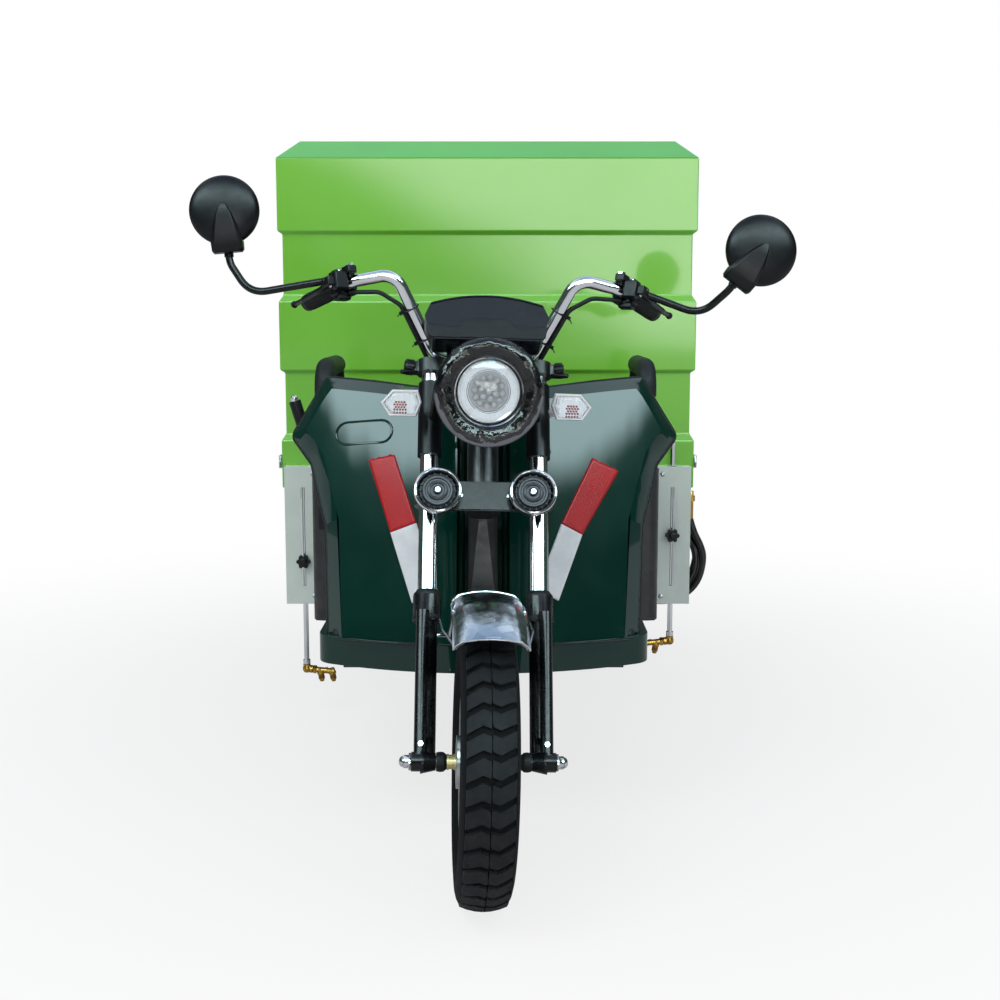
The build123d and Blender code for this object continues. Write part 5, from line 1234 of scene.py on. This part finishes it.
def sheet_edge(x, height, back):
    """A point of the source's edge face, this far behind the front."""
    local = Vector((x, SHIELD_BEND - sqrt(SHIELD_BEND ** 2 - x ** 2) + back, height))
    return SHIELD_FOOT + Matrix.Rotation(-SHIELD_LEAN, 3, "X") @ local


def moved_sheet(point):
    x, height, out = sheet_place(point)
    x, height = moved_on_sheet(x, height)
    return on_shield(x, height, out)


def smooth_front(mesh):
    """Gives the sheet's front the shading of its true sweep, whatever triangles it is cut into."""
    normals = [corner.vector.copy() for corner in mesh.corner_normals]
    for face in mesh.polygons:
        places = [sheet_place(mesh.vertices[v].co * 1000) for v in face.vertices]
        if all(abs(out) < 0.8 for x, height, out in places):
            for corner, (x, height, out) in zip(face.loop_indices, places):
                normals[corner] = (on_shield(x, height, 1) - on_shield(x, height)).normalized()
    mesh.normals_split_custom_set(normals)


def shield_patch(corners, columns, rows, out, ragged=0.0):
    """A four-cornered patch laid on the sheet: corners from top left, round by the right."""
    bm = bmesh.new()
    (ax, ah), (bx, bh), (cx, ch), (dx, dh) = corners
    grid = []
    for j in range(rows + 1):
        v = j / rows
        line = []
        for i in range(columns + 1):
            u = i / columns
            x = (ax * (1 - u) + bx * u) * (1 - v) + (dx * (1 - u) + cx * u) * v
            height = (ah * (1 - u) + bh * u) * (1 - v) + (dh * (1 - u) + ch * u) * v
            if j == 0:
                height += ragged * sin(i * 2.7) * sin(i * 1.3 + 1)
            line.append(bm.verts.new(on_shield(x, height, out)))
        grid.append(line)
    for j in range(rows):
        for i in range(columns):
            bm.faces.new((grid[j][i], grid[j][i + 1], grid[j + 1][i + 1], grid[j + 1][i]))
    mesh = to_mesh(bm)

    def thicken(holder):
        skin = holder.modifiers.new("skin", "SOLIDIFY")
        skin.thickness = 0.5
        skin.offset = 0
    return applied(mesh, thicken)


STRIPS = {
    # side: the red part's corners, then the white part's, as (x, height up the sheet)
    "right": (((-231, 370), (-178, 379), (-132, 238), (-184, 220)),
              ((-184, 220), (-132, 238), (-86, 97), (-139, 79))),
    "left": (((218, 373), (272, 350), (196, 216), (154, 237)),
             ((154, 237), (196, 216), (148, 84), (104, 104))),
}


def dress_shield():
    smooth_front(refined("leg_shield", "shield_green", 20, move=moved_sheet).data)
    refined("floor_pan", "shield_green", 24, 1.6)
    for hand, (red, white) in STRIPS.items():
        piece("strip_red_" + hand, shield_patch(red, 12, 26, 0.9, 2.2), "strip_red", "leg_shield")
        piece("strip_white_" + hand, shield_patch(white, 12, 26, 0.9), "strip_white", "leg_shield")
    trim = bmesh.new()
    for side in (-1, 1):
        edge = [(126, 500), (208, 515), (291, 530), (340, 470), (387, 410), (368, 374), (348, 336),
                (336, 270),
                (322, 204), (317, 100), (313, 20)]
        line = [moved_sheet(sheet_edge(side * x, height, 42)) for x, height in edge]
        bar(trim, bent(line, 16, 4), 7, 12)
    piece("shield_edge_rubber", to_mesh(trim), "rubber_black", "leg_shield")
    pressings = bmesh.new()
    straight, radius, middle = 35, 23, (-241.5, 427.5)
    stadium = [(middle[0] + straight + radius * cos(a), middle[1] + radius * sin(a))
               for a in (-pi / 2 + pi * k / 10 for k in range(11))]
    stadium += [(middle[0] - straight + radius * cos(a), middle[1] + radius * sin(a))
                for a in (pi / 2 + pi * k / 10 for k in range(11))]
    bar(pressings, [on_shield(x, height, 0.0) for x, height in stadium], 2.6, 10, closed=True)
    for x in (-47, -24, 24, 47):
        line = [on_shield(x, height, -34) for height in (14, 120, 240, 360, 470)]
        bar(pressings, line, 5.0 if abs(x) < 40 else 8.0, 12)
    piece("shield_pressings", to_mesh(pressings), "shield_green", "leg_shield")
    plugs = bmesh.new()
    for side in (-1, 1):
        spun(plugs, [(0, 5.5), (6, 4.8), (9.5, 2.4), (10.5, 0), (0, 0)],
             facing(on_shield(side * 299, 24, -15), (side * 0.68, -0.7, 0.2)), 24)
    piece("shield_plugs", to_mesh(plugs), "rubber_black", "leg_shield")
    seam = bmesh.new()
    bar(seam, [(x, -973 + SHIELD_BEND - sqrt(SHIELD_BEND ** 2 - x ** 2), 394.5) for x in range(-288, 289,
                                                                                               12)], 1.8, 8)
    piece("floor_seam", to_mesh(seam), "rubber_black", "floor_pan")


dress_shield()

# Box: pressed panels with rounded edges and door furniture

BOX_REAR, BOX_SIDE = 1386, 525
BOX_LOW, BOX_EAVE = 586, 1410


def dress_box():
    for node in ("box_front_panel", "box_side_panels", "rear_door_left", "rear_door_right"):
        refined(node, "box_green", 22, 2.6)
    refined("box_roof", "roof_green", 12, 2.2)
    refined("filler_lid", "plastic_black", 26, 1.2)
    refined("box_floor", "zinc", 30)
    refined("door_hinge_brackets", "steel_bright", 30)
    for side, node in ((1, "rear_door_left"), (-1, "rear_door_right")):
        hardware, seal = bmesh.new(), bmesh.new()
        if side > 0:
            brick(seal, (-2, 5), (BOX_REAR - 10, BOX_REAR - 3), (BOX_LOW + 10, BOX_EAVE - 10))
        x = side * 46
        brick(hardware, (x - 16, x + 16), (BOX_REAR - 1, BOX_REAR + 3), (906, 1044))
        for z in (914, 1036):
            spun(hardware, [(0, 5.6), (3.4, 5.2), (4.8, 3), (4.8, 0)], facing((x, BOX_REAR, z), (0, 1, 0)),
                 16)
        for z in (660, 980, 1320):
            reach = (side * 524, side * 470)
            brick(hardware, (min(reach), max(reach)), (BOX_REAR - 1, BOX_REAR + 4.4), (z - 17, z + 17))
            for dx in (480, 508):
                spun(hardware, [(0, 8), (3.6, 7.4), (5.2, 4.6)], facing((side * dx, BOX_REAR, z), (0, 1, 0)),
                     16)
        piece(node + "_hardware", softened(to_mesh(hardware), 1.0), "steel_bright", node)
        if side > 0:
            piece("door_seal", softened(to_mesh(seal), 1.5), "rubber_black", node)


dress_box()

# Nozzle bars: each slides with its pipe in a slotted plate

PLATE_X, PLATE_FRONT, PIPE_Y, PIPE_R = 468, -104, -86, 6.5
NOZZLE_BARS = {-1: ("nozzle_bar_right", 403, 285), 1: ("nozzle_bar_left", 470, 278)}


def make_nozzle_bars():
    refined("nozzle_plates", "plate_white", 26, 1.0)
    for side, (node, knob_z, drop) in NOZZLE_BARS.items():
        x, foot = side * PLATE_X, knob_z - drop
        pipe, knob, brass, clamp = (bmesh.new() for _ in range(4))
        bar(pipe, [(x, PIPE_Y, foot + 6), (x, PIPE_Y, knob_z + 229)], PIPE_R, 24)
        spun(pipe, [(PIPE_R + 0.1, 0), (9.2, 1), (9.2, 12), (PIPE_R + 0.1, 13)],
             facing((x, PIPE_Y, foot + 12), (0, 0, 1)), 24)
        spun(pipe, [(0, 5), (5.2, 4.6), (7.6, 2), (7.6, -7), (PIPE_R, -8)],
             facing((x, PIPE_Y, knob_z + 229), (0, 0, 1)), 24)
        brick(clamp, (x - 14, x + 14), (-97, -74), (knob_z - 14, knob_z + 9))
        slab(clamp, polygon(8.4, 6), 0, 6, facing((x, -74, knob_z), (0, 1, 0)))
        bar(clamp, [(x, -118, knob_z), (x, -97, knob_z)], 4.6, 16)
        # Star knob: six lobes round a hub
        face = facing((x, -104, knob_z), (0, -1, 0))
        star = [(r * cos(a), r * sin(a)) for r, a in
                ((12.6 + 5.4 * (0.5 + 0.5 * cos(6 * a)) ** 0.6,
                  a) for a in (tau * k / 72 for k in range(72)))]
        slab(knob, star, 2.5, 15, face)
        spun(knob, [(10, 14), (9, 19), (7, 20.5), (0, 20.8)], face, 28)
        spun(knob, [(8, 2.8), (10, 0.6), (0, 0.6)], face, 28)
        # Elbow inwards with two ribbed nozzles hanging from it
        spun(brass, [(0, -11), (7, -9.5), (10.6, -4), (11, 2), (9.4, 7), (9.4, 12), (PIPE_R, 12)],
             facing((x, PIPE_Y, foot), (0, 0, 1)), 28)
        tip = Vector((x - side * 70, PIPE_Y, foot - 8))
        inward = facing((x, PIPE_Y, foot), tip - Vector((x, PIPE_Y, foot)), (0, 0, 1))
        spun(brass, [(7.2, 6), (10, 8), (10, 15), (7.4, 17), (7.4, 62), (9.4, 64), (9.4, 70), (6, 72),
                     (0, 72)], inward, 24)
        slab(brass, polygon(10.8, 6), 17, 25, inward)
        for reach in (34, 64):
            top = Vector((x - side * reach, PIPE_Y, foot - 2))
            end = Vector((x - side * (reach + 5), PIPE_Y, foot - 32))
            down = facing(top, end - top, (0, 1, 0))
            line = [(0, -3), (7.4, -3), (7.4, 5), (9.6, 6), (9.6, 12), (7.0, 13)]
            for k in range(5):
                line += [(7.0, 14 + 2.4 * k), (8.2, 14.7 + 2.4 * k), (8.2, 15.6 + 2.4 * k),
                         (7.0, 16.3 + 2.4 * k)]
            line += [(6.4, 27), (5.2, 31.5), (2.6, 32.6), (2.2, 28), (0, 28)]
            spun(brass, line, down, 24)
        slab(clamp, polygon(6.4, 6), 0, 5, facing((x - side * 49, PIPE_Y + 9, foot - 5), (0, 1, 0)))
        for suffix, bm, coat, width in (("pipe", pipe, "chrome", 0), ("knob", knob, "plastic_black", 1.4),
                                        ("brasswork", brass, "brass", 0), ("clamp", clamp, "zinc", 0.8)):
            mesh = to_mesh(bm)
            piece(f"{node}_{suffix}", softened(mesh, width) if width else mesh, coat, node,
                  stands_for=(node,))
    marks = bmesh.new()
    for side in (-1, 1):
        for z in (312, 626):
            spun(marks, [(0, 4.6), (3.0, 4.4), (5.4, 2.6), (6.2, 0)],
                 facing((side * (PLATE_X - 26), PLATE_FRONT, z), (0, -1, 0)), 20)
        latch_x = side * (BOX_SIDE + 4)
        brick(marks, (latch_x - 4, latch_x + 4), (-62, -34), (636, 668))
        bar(marks, [(latch_x, -66, 640), (latch_x, -70, 652), (latch_x, -60, 668)], 3, 8)
    piece("plate_rivets", to_mesh(marks), "zinc", "nozzle_plates")


make_nozzle_bars()

# Seat: cushion and backrest filled out as cloth, with sewn channels sunk into them

SKIN = 6.0                      # size of the cells that the cover is divided into


def rounded_block(x, y, z, corner, edge):
    """A block with rounded upright corners and softened edges."""
    bm = bmesh.new()
    outline = []
    for cx, cy, start in ((x[1] - corner, y[1] - corner, 0), (x[0] + corner, y[1] - corner, pi / 2),
                          (x[0] + corner, y[0] + corner, pi), (x[1] - corner, y[0] + corner, 1.5 * pi)):
        outline += [(cx + corner * cos(start + pi / 2 * k / 6), cy + corner * sin(start + pi / 2 * k / 6))
                    for k in range(7)]
    slab(bm, outline, z[0], z[1])
    return softened(to_mesh(bm), edge, 4, 50, False)


def filled(mesh, most, flat_below=None):
    """The pad swollen by cloth pressure, moved no further than most, and flat where it rests."""
    mesh.transform(MM)

    def divide(holder):
        cells = holder.modifiers.new("cells", "REMESH")
        cells.mode = "VOXEL"
        cells.voxel_size = SKIN / 1000
    start = applied(mesh, divide)
    rest = [vertex.co.copy() for vertex in start.vertices]
    holder = bpy.data.objects.new("pad", start)
    scene.collection.objects.link(holder)
    cloth = holder.modifiers.new("cover", "CLOTH")
    cloth.settings.use_pressure = True
    cloth.settings.uniform_pressure_force = 4
    cloth.settings.quality = 5
    cloth.settings.mass = 0.3
    cloth.settings.tension_stiffness = 20
    cloth.settings.compression_stiffness = 20
    cloth.settings.bending_stiffness = 4
    cloth.settings.effector_weights.gravity = 0
    for step in range(1, 21):
        scene.frame_set(step)
    graph = bpy.context.evaluated_depsgraph_get()
    made = bpy.data.meshes.new_from_object(holder.evaluated_get(graph), depsgraph=graph)
    bpy.data.objects.remove(holder)
    scene.frame_set(1)
    for vertex, place in zip(made.vertices, rest):
        shift = vertex.co - place
        if shift.length > most / 1000:
            shift *= most / 1000 / shift.length
        vertex.co = place + shift
        if flat_below is not None and place.z < flat_below / 1000 + 0.004:
            vertex.co.z = max(vertex.co.z, flat_below / 1000)
    made.transform(Matrix.Scale(1000, 4))

    def smooth(holder):
        holder.modifiers.new("even", "SMOOTH").iterations = 4
        surface = holder.modifiers.new("fine", "SUBSURF")
        surface.levels = surface.render_levels = 1
    made = applied(made, smooth)
    made.shade_smooth()
    return made


def cut_channels(mesh, lines, width, depth, up):
    """Sinks sewn channels into the side of a pad that faces up."""
    for vertex in mesh.vertices:
        for axis, where in lines:
            away = abs(vertex.co[axis] - where)
            if away < width and vertex.normal.dot(up) > 0.25:
                vertex.co -= up * depth * (1 - away / width) ** 2
    return mesh


def raised_arm(point):
    """The photo's armrests stand 28 mm higher than the source's; their posts are drawn out by that."""
    return point + Vector((0, 0, 28 * min(1, max(0, (point.z - 690) / 110))))


def make_seat():
    refined("seat_base", "frame_black", 26, 2.0)
    cushion = rounded_block((-326, 326), (-574, -156), (694, 748), 44, 18)
    cushion = filled(cushion, 11, 690.6)
    cushion = cut_channels(cushion, ((0, -110), (0, 110)), 9, 6, Vector((0, 0, 1)))
    pad = piece("seat_cushion_cover", cushion, "seat_black", "seat_cushion", stands_for=("seat_cushion",))
    back = rounded_block((-292, 292), (-166, -114), (774, 850), 24, 16)
    back = filled(back, 9)
    back = cut_channels(back, ((0, -100), (0, 100)), 9, 5, Vector((0, -1, 0)))
    pad = piece("seat_backrest_cover", back, "seat_black", "seat_backrest", stands_for=("seat_backrest",))
    refined("backrest_posts", "zinc", 30)
    refined("armrests", "rubber_black", move=raised_arm)


make_seat()

# Rear end and running gear


def make_tail_lamps():
    """Each lamp: a black tray with a ribbed red field and a white clear field."""
    trays, reds, clears = (bmesh.new() for _ in range(3))
    for side in (-1, 1):
        middle = side * 385
        brick(trays, (middle - 42, middle + 42), (1444.4, 1456), (512, 552))
        brick(reds, (middle - 39, middle + 8), (1455, 1469), (515, 549))
        brick(clears, (middle + 9.5, middle + 39), (1455, 1468.5), (515, 549))
        for k in range(9):
            brick(reds, (middle - 36 + 5 * k, middle - 34.6 + 5 * k), (1468, 1470), (517, 547))
    for name, bm, coat in (("tail_lamp_trays", trays, "plastic_black"),
                           ("tail_lamp_reds", reds, "red_plastic"),
                           ("tail_lamp_clears", clears, "white_plastic")):
        piece(name, softened(to_mesh(bm), 1.6, 2), coat, "tail_lamps", stands_for=("tail_lamps",))


make_tail_lamps()
for node, coat, edge in (
        ("rear_bumper", "frame_black", 1.2), ("main_frame", "frame_black", 0),
        ("rear_mudguards", "plastic_black", 0),
        ("rear_axle", "copper_motor", 0), ("leaf_springs", "frame_black", 0), ("spring_pins", "zinc", 0),
        ("brake_pedal", "zinc", 0), ("parking_brake_lever", "plastic_black", 0),
        ("battery_pack", "plastic_black", 4),
        ("water_tank", "tank_white", 0), ("pump_set", "copper_motor", 0), ("hose_hanger", "zinc", 0),
        ("hose_union", "brass", 0)):
    refined(node, coat, 28, edge)


def small_details():
    """The parking lever's button and the bolts round the rear hubs."""
    button = bmesh.new()
    spun(button, [(0, 7.5), (4, 6.6), (7, 3.6), (7.8, 0), (7.8, -5), (0, -5)],
         facing((-409.5, -605, 848), (-0.05, -0.16, 1)), 24)
    piece("lever_button", to_mesh(button), "chrome", "parking_brake_lever")
    for side, hand in ((1, "left"), (-1, "right")):
        bolt = bmesh.new()
        slab(bolt, [(y + 34, z) for y, z in polygon(6.5, 6)], 0, 7, ALONG_X)
        ring = grown(to_mesh(bolt), ROUND_THE_AXLE, Count=5, Finish=materials["zinc"])
        place = Matrix.Translation((side * (420 + 48), REAR_AXLE.y, REAR_AXLE.z)) @ (
            HERE if side > 0 else Matrix.Rotation(pi, 4, "Z"))
        piece("hub_bolts_" + hand, ring, "zinc", "rear_rim_" + hand, place)


small_details()
